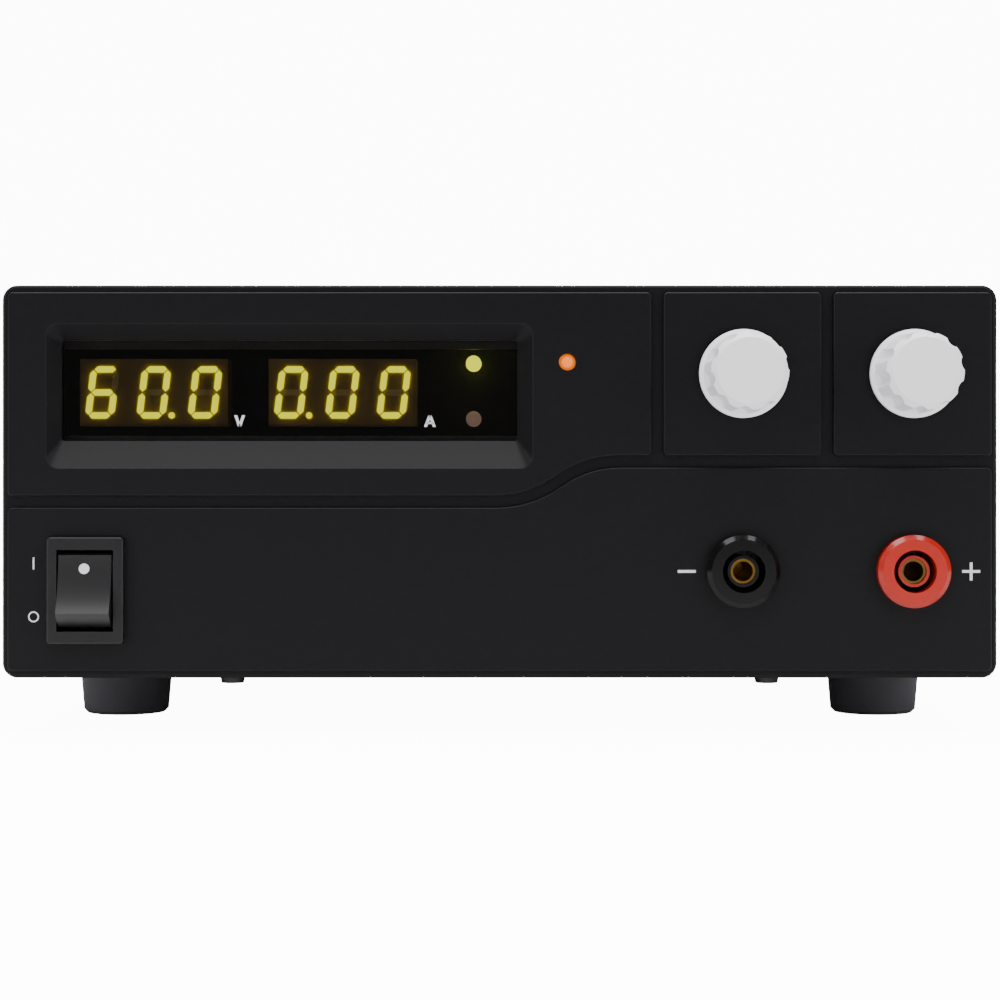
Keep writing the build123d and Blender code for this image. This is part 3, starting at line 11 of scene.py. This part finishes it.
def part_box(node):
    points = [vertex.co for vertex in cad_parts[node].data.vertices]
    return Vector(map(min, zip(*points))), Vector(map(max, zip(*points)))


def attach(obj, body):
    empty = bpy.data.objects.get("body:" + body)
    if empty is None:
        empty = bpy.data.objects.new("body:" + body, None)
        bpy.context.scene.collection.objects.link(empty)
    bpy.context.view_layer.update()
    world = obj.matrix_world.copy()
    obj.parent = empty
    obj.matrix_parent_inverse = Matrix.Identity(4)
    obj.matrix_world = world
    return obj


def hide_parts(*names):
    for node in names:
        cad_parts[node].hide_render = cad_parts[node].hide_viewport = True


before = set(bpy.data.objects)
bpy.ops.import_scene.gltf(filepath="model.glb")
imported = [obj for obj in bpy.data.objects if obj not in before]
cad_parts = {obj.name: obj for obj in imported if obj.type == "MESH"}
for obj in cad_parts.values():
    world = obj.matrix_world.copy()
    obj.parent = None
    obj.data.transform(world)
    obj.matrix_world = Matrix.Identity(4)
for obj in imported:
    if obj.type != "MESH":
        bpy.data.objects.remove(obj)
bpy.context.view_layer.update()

MM = 0.001

# Places that the CAD part gives
face_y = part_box("front_bezel")[0][1]
pane_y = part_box("display_window")[0][1]
module_low, module_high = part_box("digit_displays")


# Materials: colours are sRGB hex values, and patterns are sized in millimetres
def linear(hex_colour):
    """The linear colour of an sRGB hex value, for a shader's colour socket."""
    shown = [int(hex_colour[i : i + 2], 16) / 255 for i in (0, 2, 4)]
    return [c / 12.92 if c <= 0.04045 else ((c + 0.055) / 1.055) ** 2.4 for c in shown] + [1.0]


def add_node(tree, kind, settings=None, values=None, links=None):
    """Adds a node, sets its properties and its sockets' values, and links its inputs."""
    node = tree.nodes.new(kind)
    for name, value in (settings or {}).items():
        setattr(node, name, value)
    for socket, value in (values or {}).items():
        node.inputs[socket].default_value = value
    for socket, source in (links or {}).items():
        tree.links.new(source, node.inputs[socket])
    return node


def shader_of(made):
    """A material's node tree and its one shader."""
    return made.node_tree, made.node_tree.nodes["Principled BSDF"]


def add_grain(made, size_mm, depth_mm, strength):
    """Gives a material a fine moulded or sprayed surface: bumps of this size and depth."""
    tree, shader = shader_of(made)
    place = add_node(tree, "ShaderNodeTexCoord")
    bumps = add_node(
        tree,
        "ShaderNodeTexNoise",
        values={"Scale": 1 / (size_mm * MM), "Detail": 2.0, "Roughness": 0.5},
        links={"Vector": place.outputs["Object"]},
    )
    bump = add_node(
        tree,
        "ShaderNodeBump",
        values={"Strength": strength, "Distance": depth_mm * MM},
        links={"Height": bumps.outputs["Fac"]},
    )
    tree.links.new(bump.outputs["Normal"], shader.inputs["Normal"])


def material(name, colour, roughness, metallic=0.0, grain=None, **values):
    """A material of one shader. A grain is the size and depth of its bumps, and their strength."""
    made = bpy.data.materials.new(name)
    made.use_nodes = True
    values.update({"Base Color": linear(colour), "Roughness": roughness, "Metallic": metallic})
    for socket, value in values.items():
        shader_of(made)[1].inputs[socket.replace("_", " ")].default_value = value
    if grain:
        add_grain(made, *grain)
    return made


def lit(name, colour, strength):
    """A glowing diffused light."""
    return material(
        name, colour, 0.4, IOR=1.5, Emission_Color=linear(colour), Emission_Strength=strength
    )


# Moulded ABS with a satin spark-eroded grain: near black, with soft broad highlights on its edges
bezel_abs = material(
    "satin moulded ABS", "0E0D10", 0.42, IOR=1.53, Specular_IOR_Level=0.13, grain=(0.5, 0.02, 0.25)
)

# Smoked acrylic, cast and polished: a black mirror that only lit digits shine through
smoked_acrylic = material(
    "smoked polished acrylic", "77726E", 0.03, IOR=1.3, Transmission_Weight=1.0
)

# Powder coat on steel: black with a fine leathery texture, drawn a little coarser than it is
powder_coat = material("black powder coat", "1B1B1D", 0.5, IOR=1.5, grain=(0.9, 0.05, 0.5))

# Zinc plated steel: pale, faintly bluish and slightly blurred
zinc_steel = material("zinc plated steel", "B9BCC0", 0.35, 1.0, grain=(1.5, 0.01, 0.2))

# Black oxide on steel screws: dark with a soft metallic sheen
black_screw = material("black oxide steel", "2B2A2A", 0.38, 0.6)

# Bright plated steel wire: a clean mirror
bright_wire = material("bright plated steel", "D5D6D8", 0.14, 1.0)

# Moulded rubber: matt and slightly greyed
rubber = material("moulded rubber", "434147", 0.75, IOR=1.52, grain=(0.6, 0.02, 0.3))

# Light grey ABS knobs: satin, with soft shading
knob_abs = material("light grey satin ABS", "F0EFF4", 0.4, IOR=1.53, grain=(0.4, 0.01, 0.15))

# Polished nylon of the rocker: black, with broad highlights, and a duller frame round it
rocker_nylon = material(
    "semi-gloss rocker nylon", "141416", 0.36, IOR=1.53, grain=(0.5, 0.01, 0.15)
)
switch_nylon = material(
    "semi-gloss nylon", "101012", 0.34, IOR=1.53, Specular_IOR_Level=0.3, grain=(0.5, 0.01, 0.15)
)

# Glossy insulating plastic of the terminals
black_terminal = material("glossy black plastic", "070607", 0.16, IOR=1.52, Specular_IOR_Level=0.2)
red_terminal = material("glossy red plastic", "A41400", 0.22, IOR=1.52)

# Moulded black plastic of the fan, the inlet and the small rear switch
dull_plastic = material("moulded black plastic", "1C1C1D", 0.5, IOR=1.5, grain=(0.6, 0.02, 0.2))

# Turned brass and nickel plate
turned_brass = material("turned brass", "7A5C2C", 0.3, 1.0)
nickel_plate = material("nickel plated brass", "C4BFB2", 0.22, 1.0)
turned_aluminium = material("turned aluminium", "C9CACC", 0.3, 1.0)

# Digits: a brown filter face, segments that glow through it, and the segments that are off
module_filter = material("brown filter face", "C8A868", 0.35, IOR=1.5)
unlit_segment = material("unlit diffused segment", "F8DCA0", 0.5, IOR=1.5)
segment_glow = lit("glowing segment", "D2DC08", 8.5)
lamp_glow = lit("glowing lamp", "CEDA10", 10.0)
amber_glow = lit("amber lamp", "CC6200", 1.5)
# Painted glow: the unlit lamp glows faintly in its own colour, so that it shows through the smoked
# pane
unlit_lamp_painted_glow = lit("unlit lamp with a painted glow", "BCA08E", 1.3)

# Screen printing ink: flat white, with no shine of its own
white_ink = material("white printing ink", "D9D9DC", 0.6, IOR=1.5)

# Circuit boards: a green solder mask inside, and a black one behind the window
solder_mask = material("green solder mask", "14502B", 0.35, IOR=1.5)
dark_mask = material("matt black solder mask", "0A0A0B", 0.6, IOR=1.5)
taped_winding = material("taped winding", "8F7A2E", 0.45, IOR=1.5)

# Fuse: a glass tube between two plated caps, told apart by their distance from its middle
fuse_glass = material("glass tube with plated caps", "DADCDD", 0.08)
fuse_low, fuse_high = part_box("mains_fuse")
cap_length = 5.0 * MM
tree, shader = shader_of(fuse_glass)
fuse_place = add_node(tree, "ShaderNodeTexCoord")
fuse_axes = add_node(tree, "ShaderNodeSeparateXYZ", links={"Vector": fuse_place.outputs["Object"]})
from_middle = add_node(
    tree,
    "ShaderNodeMath",
    {"operation": "SUBTRACT"},
    {1: (fuse_low[0] + fuse_high[0]) / 2},
    {0: fuse_axes.outputs["X"]},
)
distance = add_node(
    tree, "ShaderNodeMath", {"operation": "ABSOLUTE"}, links={0: from_middle.outputs[0]}
)
on_cap = add_node(
    tree,
    "ShaderNodeMath",
    {"operation": "GREATER_THAN"},
    {1: (fuse_high[0] - fuse_low[0]) / 2 - cap_length},
    {0: distance.outputs[0]},
)
tree.links.new(on_cap.outputs[0], shader.inputs["Metallic"])

finishes = {
    bezel_abs: ["front_bezel"],
    smoked_acrylic: ["display_window"],
    powder_coat: ["chassis", "top_cover"],
    zinc_steel: [
        "front_plate",
        "board_standoffs",
        "voltage_encoder",
        "current_encoder",
        "encoder_nuts",
        "terminal_nuts",
    ],
    rubber: ["foot_front_left", "foot_front_right", "foot_rear_left", "foot_rear_right"],
    knob_abs: ["voltage_knob", "current_knob"],
    turned_aluminium: [
        "voltage_shaft",
        "current_shaft",
        "voltage_plunger",
        "current_plunger",
        "heat_sinks",
        "capacitors",
    ],
    rocker_nylon: ["power_switch_rocker"],
    switch_nylon: ["power_switch_frame"],
    black_terminal: [
        "negative_socket",
        "negative_post_base",
        "negative_post_collar",
        "negative_post_cap",
    ],
    red_terminal: [
        "positive_socket",
        "positive_post_base",
        "positive_post_collar",
        "positive_post_cap",
    ],
    dull_plastic: [
        "fan_frame",
        "fan_rotor",
        "mains_inlet",
        "fuse_drawer",
        "mode_switch",
        "mode_slider",
        "power_transistors",
    ],
    turned_brass: ["negative_socket_contact", "positive_socket_contact"],
    nickel_plate: [
        "negative_post_stud",
        "positive_post_stud",
        "inlet_pins",
        "power_switch_terminals",
        "control_socket",
    ],
    module_filter: ["digit_displays"],
    segment_glow: ["lit_segments"],
    lamp_glow: ["cv_lamp"],
    unlit_lamp_painted_glow: ["cc_lamp"],
    amber_glow: ["rear_control_lamp"],
    solder_mask: ["main_board"],
    dark_mask: ["display_board"],
    taped_winding: ["transformer"],
    bright_wire: ["fan_guard"],
    fuse_glass: ["mains_fuse"],
}
for finish, nodes in finishes.items():
    for node in nodes:
        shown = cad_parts[node]
        if not shown.material_slots:
            shown.data.materials.append(finish)
        for material_slot in shown.material_slots:
            material_slot.material = finish


def add_piece(name, mesh, finish, body="case"):
    """Puts a finished mesh into the scene with one material and lets it ride on a body."""
    piece = bpy.data.objects.new(name, mesh)
    bpy.context.collection.objects.link(piece)
    mesh.materials.clear()
    mesh.materials.append(finish)
    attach(piece, body)
    return piece


def flat_prisms(outlines, thickness, place):
    """Flat prisms from outlines in millimetres, with their backs on the plane that place gives."""
    mesh = bpy.data.meshes.new("prisms")
    shapes = bmesh.new()
    for outline in outlines:
        corners = [shapes.verts.new((x * MM, y * MM, 0)) for x, y in outline]
        face = shapes.faces.new(corners)
        grown = bmesh.ops.extrude_face_region(shapes, geom=[face])
        moved = [item for item in grown["geom"] if isinstance(item, bmesh.types.BMVert)]
        bmesh.ops.translate(shapes, verts=moved, vec=(0, 0, thickness * MM))
    bmesh.ops.recalc_face_normals(shapes, faces=shapes.faces)
    bmesh.ops.transform(shapes, matrix=place, verts=shapes.verts)
    shapes.to_mesh(mesh)
    shapes.free()
    return mesh


def towards_user(x, y, z):
    """A plane that faces the user: local x is X, local y is Z and local z points at the user."""
    return Matrix.Translation((x, y, z)) @ Matrix.Rotation(radians(90), 4, "X")


# Printed marks: the on and off signs of the switch, the signs of the sockets and the digits' units
ink_thickness = 0.03
mark_x = -93.4
socket_mark_z = 32.5
sign_length, sign_line = 3.6, 0.55
unit_z, unit_height, unit_stroke = 62.75, 2.35, 0.6


def bar(width, height, x=0.0, y=0.0):
    """The corners of an upright rectangle round a point."""
    w, h = width / 2, height / 2
    return [(x - w, y - h), (x + w, y - h), (x + w, y + h), (x - w, y + h)]


def cross(length, line):
    """The twelve corners of a plus sign."""
    a, b = length / 2, line / 2
    quarter = [(a, -b), (a, b), (b, b)]
    corners = []
    for _ in range(4):
        corners += quarter
        quarter = [(-y, x) for x, y in quarter]
    return corners


def ring_sectors(radius, line, count=24):
    """A ring cut into sectors, each one a four-cornered outline."""
    inner = radius - line
    turns = [2 * pi * index / count for index in range(count + 1)]
    return [
        [(inner * cos(a), inner * sin(a)), (radius * cos(a), radius * sin(a))]
        + [(radius * cos(b), radius * sin(b)), (inner * cos(b), inner * sin(b))]
        for a, b in zip(turns, turns[1:])
    ]


def letter(stroke, width, height, bar_height=None):
    """A bold letter of two leaning strokes that meet: V, or A when it has a bar."""
    w, h = width / 2, height / 2
    rise = -1 if bar_height is None else 1
    legs = [
        [
            (side * (w - stroke), -rise * h),
            (side * w, -rise * h),
            (side * stroke / 2, rise * h),
            (-side * stroke / 2, rise * h),
        ]
        for side in (-1, 1)
    ]
    if bar_height is not None:
        legs.append(bar(width * 0.6, stroke * 0.6, 0, bar_height))
    return legs


printed_marks = {
    "on_mark": ([bar(0.3, 2.4)], mark_x, face_y, 34.1),
    "off_mark": (ring_sectors(1.1, 0.28), mark_x, face_y, 23.4),
    "minus_mark": ([bar(sign_length, sign_line)], 37.5, face_y, socket_mark_z),
    "plus_mark": ([cross(sign_length, sign_line)], 94.5, face_y, socket_mark_z),
    "volt_mark": (letter(unit_stroke, 2.2, unit_height), -52.6, pane_y, unit_z),
    "ampere_mark": (letter(unit_stroke, 2.4, unit_height, -0.4), -14.1, pane_y, unit_z),
}
for name, (outlines, x, y, z) in printed_marks.items():
    mesh = flat_prisms(outlines, ink_thickness, towards_user(x * MM, y, z * MM))
    add_piece(name, mesh, white_ink)


# White dot on the rocker, laid on its hollow face
def surface_under(node, x, z):
    """Where a line from the user meets a node, and the surface's direction there."""
    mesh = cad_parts[node].data
    tree = BVHTree.FromPolygons(
        [v.co for v in mesh.vertices], [tuple(p.vertices) for p in mesh.polygons]
    )
    place, direction, _, _ = tree.ray_cast(Vector((x, face_y - 0.1, z)), Vector((0, 1, 0)))
    return place, direction


dot_radius, dot_corners = 1.05, 32
dot_x, dot_z = -82.9 * MM, 33.1 * MM
dot_place, dot_direction = surface_under("power_switch_rocker", dot_x, dot_z)
dot_turn = dot_direction.to_track_quat("Z", "Y").to_matrix().to_4x4()
dot_turns = [2 * pi * index / dot_corners for index in range(dot_corners)]
dot_outline = [(dot_radius * cos(a), dot_radius * sin(a)) for a in dot_turns]
dot_mesh = flat_prisms(
    [dot_outline], 4 * ink_thickness, Matrix.Translation(dot_place) @ dot_turn
)
add_piece("rocker_dot", dot_mesh, white_ink, "power_rocker")


# Black rings in front of the lamps' flanges, so that only the domes glow
mask_outer, mask_line, mask_thickness = 2.1, 0.5, 0.1
dome_reach = 1.7  # every corner further from a lamp's axis is its flange's
for node in ("cv_lamp", "cc_lamp"):
    low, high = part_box(node)
    lamp_x, lamp_z = (low[0] + high[0]) / 2, (low[2] + high[2]) / 2
    flange_front = min(
        v.co.y
        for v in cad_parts[node].data.vertices
        if hypot(v.co.x - lamp_x, v.co.z - lamp_z) > dome_reach * MM
    )
    mask_mesh = flat_prisms(
        ring_sectors(mask_outer, mask_line),
        mask_thickness,
        towards_user(lamp_x, flange_front, lamp_z),
    )
    add_piece(f"{node}_mask", mask_mesh, dark_mask)


# Segments that are off: every segment of the six digits that the lit ones leave out
digit_width, digit_height, digit_pitch = 5.9, 10.6, 10.4
segment_width, segment_gap, digit_slant = 1.25, 0.2, 7.0
segment_face = 0.06
digit_a = (digit_width - segment_width) / 2
digit_b = (digit_height - segment_width) / 2
segment_ends = {
    "a": ((-digit_a, digit_b), (digit_a, digit_b)),
    "b": ((digit_a, digit_b), (digit_a, 0)),
    "c": ((digit_a, 0), (digit_a, -digit_b)),
    "d": ((-digit_a, -digit_b), (digit_a, -digit_b)),
    "e": ((-digit_a, 0), (-digit_a, -digit_b)),
    "f": ((-digit_a, digit_b), (-digit_a, 0)),
    "g": ((-digit_a, 0), (digit_a, 0)),
}
segments_off = {"0": "g", "6": "b"}


def segment_outline(start, end):
    """The six corners of a segment, leaned over with the digit."""
    length = abs(end[0] - start[0]) + abs(end[1] - start[1])
    along = ((end[0] - start[0]) / length, (end[1] - start[1]) / length)
    half = segment_width / 2
    near, far = segment_gap + half, length - segment_gap - half
    steps = ((segment_gap, 0), (near, half), (far, half))
    steps += ((length - segment_gap, 0), (far, -half), (near, -half))
    corners = []
    for distance_along, offset in steps:
        x = start[0] + along[0] * distance_along - along[1] * offset
        y = start[1] + along[1] * distance_along + along[0] * offset
        corners.append((x + y * tan(radians(digit_slant)), y))
    return corners


module_width = 30.0
module_middles = [
    (module_low[0] / MM + module_width / 2, "600"),
    (module_high[0] / MM - module_width / 2, "000"),
]
module_z = (module_low[2] + module_high[2]) / 2
unlit = []
for middle, digits in module_middles:
    for place, digit in enumerate(digits, start=-1):
        for segment in segments_off[digit]:
            outline = segment_outline(*segment_ends[segment])
            unlit.append([(x + middle + place * digit_pitch, y) for x, y in outline])
unlit_mesh = flat_prisms(unlit, segment_face, towards_user(0, module_low[1], module_z))
add_piece("unlit_segments", unlit_mesh, unlit_segment)


# Screws: each set is built by a node tree on the places that its CAD node gives
merge_distance, end_tolerance = 0.001 * MM, 0.01 * MM
pan_top, recess_share = 0.82, 0.55  # the flat top and the recess, as shares of the head's radius
recess_slot, recess_lift = 0.3, 0.95  # shares of the recess and of the head's height


def screw_set(node):
    """Measures a node of equal screws: their places, outward directions and sizes."""
    shape = bmesh.new()
    shape.from_mesh(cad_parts[node].data)
    bmesh.ops.remove_doubles(shape, verts=shape.verts, dist=merge_distance)
    left = set(shape.verts)
    places = []
    while left:
        island, edge_of = [], [left.pop()]
        while edge_of:
            vertex = edge_of.pop()
            island.append(vertex.co.copy())
            for edge in vertex.link_edges:
                other = edge.other_vert(vertex)
                if other in left:
                    left.remove(other)
                    edge_of.append(other)
        low = Vector([min(p[i] for p in island) for i in range(3)])
        high = Vector([max(p[i] for p in island) for i in range(3)])
        span = high - low
        axis = max(range(3), key=lambda i: span[i])
        middle = (low + high) / 2
        ends = {
            side: max(
                (Vector([0 if i == axis else p[i] - middle[i] for i in range(3)])).length
                for p in island
                if abs(p[axis] - (high if side > 0 else low)[axis]) < end_tolerance
            )
            for side in (-1, 1)
        }
        outward = Vector((0, 0, 0))
        outward[axis] = 1 if ends[1] > ends[-1] else -1
        levels = sorted({round(p.dot(outward), 5) for p in island})
        seat = middle + outward * (levels[-2] - middle.dot(outward))
        places.append((seat, outward))
        sizes = {
            "Head Radius": max(span[i] for i in range(3) if i != axis) / 2,
            "Head Height": levels[-1] - levels[-2],
            "Shank Radius": min(ends.values()),
            "Length": levels[-2] - levels[0],
        }
    shape.free()
    return places, sizes


def screw_tree(finish):
    """A node tree that puts a cross-recessed screw on every point, along its outward arrow."""
    tree = bpy.data.node_groups.new("Cross-recessed screws", "GeometryNodeTree")
    tree.interface.new_socket("Geometry", in_out="INPUT", socket_type="NodeSocketGeometry")
    for name in ("Head Radius", "Head Height", "Top Radius", "Shank Radius", "Length", "Recess"):
        tree.interface.new_socket(name, in_out="INPUT", socket_type="NodeSocketFloat")
    tree.interface.new_socket("Geometry", in_out="OUTPUT", socket_type="NodeSocketGeometry")
    given = tree.nodes.new("NodeGroupInput").outputs

    def math(operation, first, second):
        made = add_node(tree, "ShaderNodeMath", {"operation": operation})
        for index, source in enumerate((first, second)):
            if isinstance(source, (int, float)):
                made.inputs[index].default_value = source
            else:
                tree.links.new(source, made.inputs[index])
        return made.outputs[0]

    head = add_node(
        tree,
        "GeometryNodeMeshCone",
        values={"Vertices": 40},
        links={
            "Radius Top": given["Top Radius"],
            "Radius Bottom": given["Head Radius"],
            "Depth": given["Head Height"],
        },
    ).outputs["Mesh"]
    cutters = []
    for long_axis in (0, 1):
        size = [math("MULTIPLY", given["Recess"], recess_slot)] * 2 + [given["Head Height"]]
        size[long_axis] = math("MULTIPLY", given["Recess"], 2)
        span = add_node(tree, "ShaderNodeCombineXYZ", links=dict(zip("XYZ", size)))
        block = add_node(tree, "GeometryNodeMeshCube", links={"Size": span.outputs[0]})
        cutters.append(block.outputs["Mesh"])
    lift = add_node(
        tree,
        "ShaderNodeCombineXYZ",
        links={"Z": math("MULTIPLY", given["Head Height"], recess_lift)},
    )
    cross = add_node(tree, "GeometryNodeJoinGeometry")
    for cutter in cutters:
        raised = add_node(
            tree,
            "GeometryNodeTransform",
            links={"Geometry": cutter, "Translation": lift.outputs[0]},
        )
        tree.links.new(raised.outputs[0], cross.inputs[0])
    cut = add_node(
        tree,
        "GeometryNodeMeshBoolean",
        {"operation": "DIFFERENCE", "solver": "EXACT"},
        links={"Mesh 1": head},
    )
    cut.inputs["Self Intersection"].default_value = True
    tree.links.new(cross.outputs[0], cut.inputs["Mesh 2"])
    shank = add_node(
        tree,
        "GeometryNodeMeshCylinder",
        values={"Vertices": 24},
        links={"Radius": given["Shank Radius"], "Depth": given["Length"]},
    )
    drop = add_node(
        tree, "ShaderNodeCombineXYZ", links={"Z": math("MULTIPLY", given["Length"], -0.5)}
    )
    lowered = add_node(
        tree,
        "GeometryNodeTransform",
        links={"Geometry": shank.outputs["Mesh"], "Translation": drop.outputs[0]},
    )
    screw = add_node(tree, "GeometryNodeJoinGeometry")
    tree.links.new(cut.outputs["Mesh"], screw.inputs[0])
    tree.links.new(lowered.outputs[0], screw.inputs[0])
    outward = add_node(
        tree,
        "GeometryNodeInputNamedAttribute",
        {"data_type": "FLOAT_VECTOR"},
        {"Name": "outward"},
    )
    turn = add_node(
        tree,
        "FunctionNodeAlignRotationToVector",
        {"axis": "Z"},
        links={"Vector": outward.outputs["Attribute"]},
    )
    placed = add_node(
        tree,
        "GeometryNodeInstanceOnPoints",
        links={
            "Points": given["Geometry"],
            "Instance": screw.outputs[0],
            "Rotation": turn.outputs[0],
        },
    )
    real = add_node(tree, "GeometryNodeRealizeInstances", links={0: placed.outputs[0]})
    painted = add_node(
        tree, "GeometryNodeSetMaterial", values={"Material": finish}, links={0: real.outputs[0]}
    )
    given_out = tree.nodes.new("NodeGroupOutput")
    tree.links.new(painted.outputs[0], given_out.inputs[0])
    return tree


def made_by(tree, points, values):
    """The plain mesh that a node tree makes on a mesh of points, given its named inputs."""
    carrier = bpy.data.objects.new("carrier", points)
    bpy.context.collection.objects.link(carrier)
    modifier = carrier.modifiers.new("tree", "NODES")
    modifier.node_group = tree
    for item in tree.interface.items_tree:
        if item.in_out == "INPUT" and item.name in values:
            modifier[item.identifier] = values[item.name]
    bpy.context.view_layer.update()
    evaluated = carrier.evaluated_get(bpy.context.evaluated_depsgraph_get())
    mesh = bpy.data.meshes.new_from_object(evaluated)
    bpy.data.objects.remove(carrier)
    return mesh


for node, finish in (
    ("fan_screws", black_screw),
    ("foot_screws", zinc_steel),
    ("case_screws", black_screw),
    ("sunk_screws", black_screw),
):
    places, sizes = screw_set(node)
    points = bpy.data.meshes.new("places")
    points.from_pydata([seat for seat, _ in places], [], [])
    arrows = points.attributes.new("outward", "FLOAT_VECTOR", "POINT")
    for index, (_, outward) in enumerate(places):
        arrows.data[index].vector = outward
    head_radius = sizes["Head Radius"]
    sizes["Top Radius"] = pan_top * head_radius
    sizes["Recess"] = recess_share * head_radius
    if node == "sunk_screws":
        sizes["Top Radius"], sizes["Head Radius"] = head_radius, sizes["Shank Radius"]
    screws = add_piece(f"{node}_shown", made_by(screw_tree(finish), points, sizes), finish)
    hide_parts(node)


# Backdrop: a pale floor that rises into a wall far behind
sweep_radius, sweep_width, sweep_far, sweep_near, sweep_top = 1.2, 12.0, 3.0, -4.0, 6.0
profile = [(sweep_near, 0.0)]
profile += [
    (
        sweep_far + sweep_radius * sin(radians(angle)),
        sweep_radius * (1 - cos(radians(angle))),
    )
    for angle in range(0, 91, 6)
]
profile.append((sweep_far + sweep_radius, sweep_top))
backdrop_mesh = bpy.data.meshes.new("backdrop")
backdrop_mesh.from_pydata(
    [(side * sweep_width / 2, y, z) for y, z in profile for side in (-1, 1)],
    [],
    [(2 * i, 2 * i + 1, 2 * i + 3, 2 * i + 2) for i in range(len(profile) - 1)],
)
backdrop = bpy.data.objects.new("backdrop", backdrop_mesh)
bpy.context.collection.objects.link(backdrop)
paper = material("pale paper", "F4F4F4", 0.9)
shown_white = 12.0  # strength at which the camera sees the backdrop and the world as white
tree, shader = shader_of(paper)
seen = add_node(tree, "ShaderNodeLightPath")
backdrop_glow = add_node(
    tree,
    "ShaderNodeMath",
    {"operation": "MULTIPLY"},
    {1: shown_white},
    {0: seen.outputs["Is Camera Ray"]},
)
shader.inputs["Emission Color"].default_value = linear("FFFFFF")
tree.links.new(backdrop_glow.outputs[0], shader.inputs["Emission Strength"])
backdrop_mesh.materials.append(paper)

# Light: one large soft light from above the front, and one soft light at each side
for name, place, size, power in (
    ("top_light", (0.0, -0.2, 1.05), 1.1, 26.0),
    ("left_light", (-0.95, -0.75, 0.4), 0.7, 6.0),
    ("right_light", (0.95, -0.75, 0.4), 0.7, 6.0),
):
    light = bpy.data.lights.new(name, "AREA")
    light.size = size
    light.energy = power
    lamp = bpy.data.objects.new(name, light)
    bpy.context.collection.objects.link(lamp)
    lamp.location = place
    aim = Vector((0, 0, 0.05)) - Vector(place)
    lamp.rotation_euler = aim.to_track_quat("-Z", "Y").to_euler()
world_fill = 0.2
world = bpy.data.worlds.new("studio")
bpy.context.scene.world = world
world.use_nodes = True
world_light = world.node_tree.nodes["Background"]
world_light.inputs["Color"].default_value = (1, 1, 1, 1)
world_seen = add_node(world.node_tree, "ShaderNodeLightPath")
world_strength = add_node(
    world.node_tree,
    "ShaderNodeMapRange",
    values={"To Min": world_fill, "To Max": shown_white},
    links={"Value": world_seen.outputs["Is Camera Ray"]},
)
world.node_tree.links.new(world_strength.outputs[0], world_light.inputs["Strength"])

# Camera: level with the front, where the photograph's straight lines meet
image_pixels = 1000
pixels_per_mm = 4.99
camera_distance = 440 * MM  # in front of the bezel's face
meeting_x, meeting_y = 500, 480  # pixels
bezel_middle_pixel, bezel_foot_pixel = 499.6, 678.7
sensor = 36.0
image_middle = image_pixels / 2
camera_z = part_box("front_bezel")[0][2] + (bezel_foot_pixel - meeting_y) / pixels_per_mm * MM
camera_data = bpy.data.cameras.new("camera")
camera_data.sensor_width = sensor
camera_data.lens = sensor * pixels_per_mm * (camera_distance / MM) / image_pixels
camera_data.shift_y = (meeting_y - image_middle) / image_pixels
camera = bpy.data.objects.new("camera", camera_data)
bpy.context.collection.objects.link(camera)
camera_x = (meeting_x - bezel_middle_pixel) / pixels_per_mm * MM
camera.location = (camera_x, face_y - camera_distance, camera_z)
camera.rotation_euler = (radians(90), 0, 0)
bpy.context.scene.camera = camera
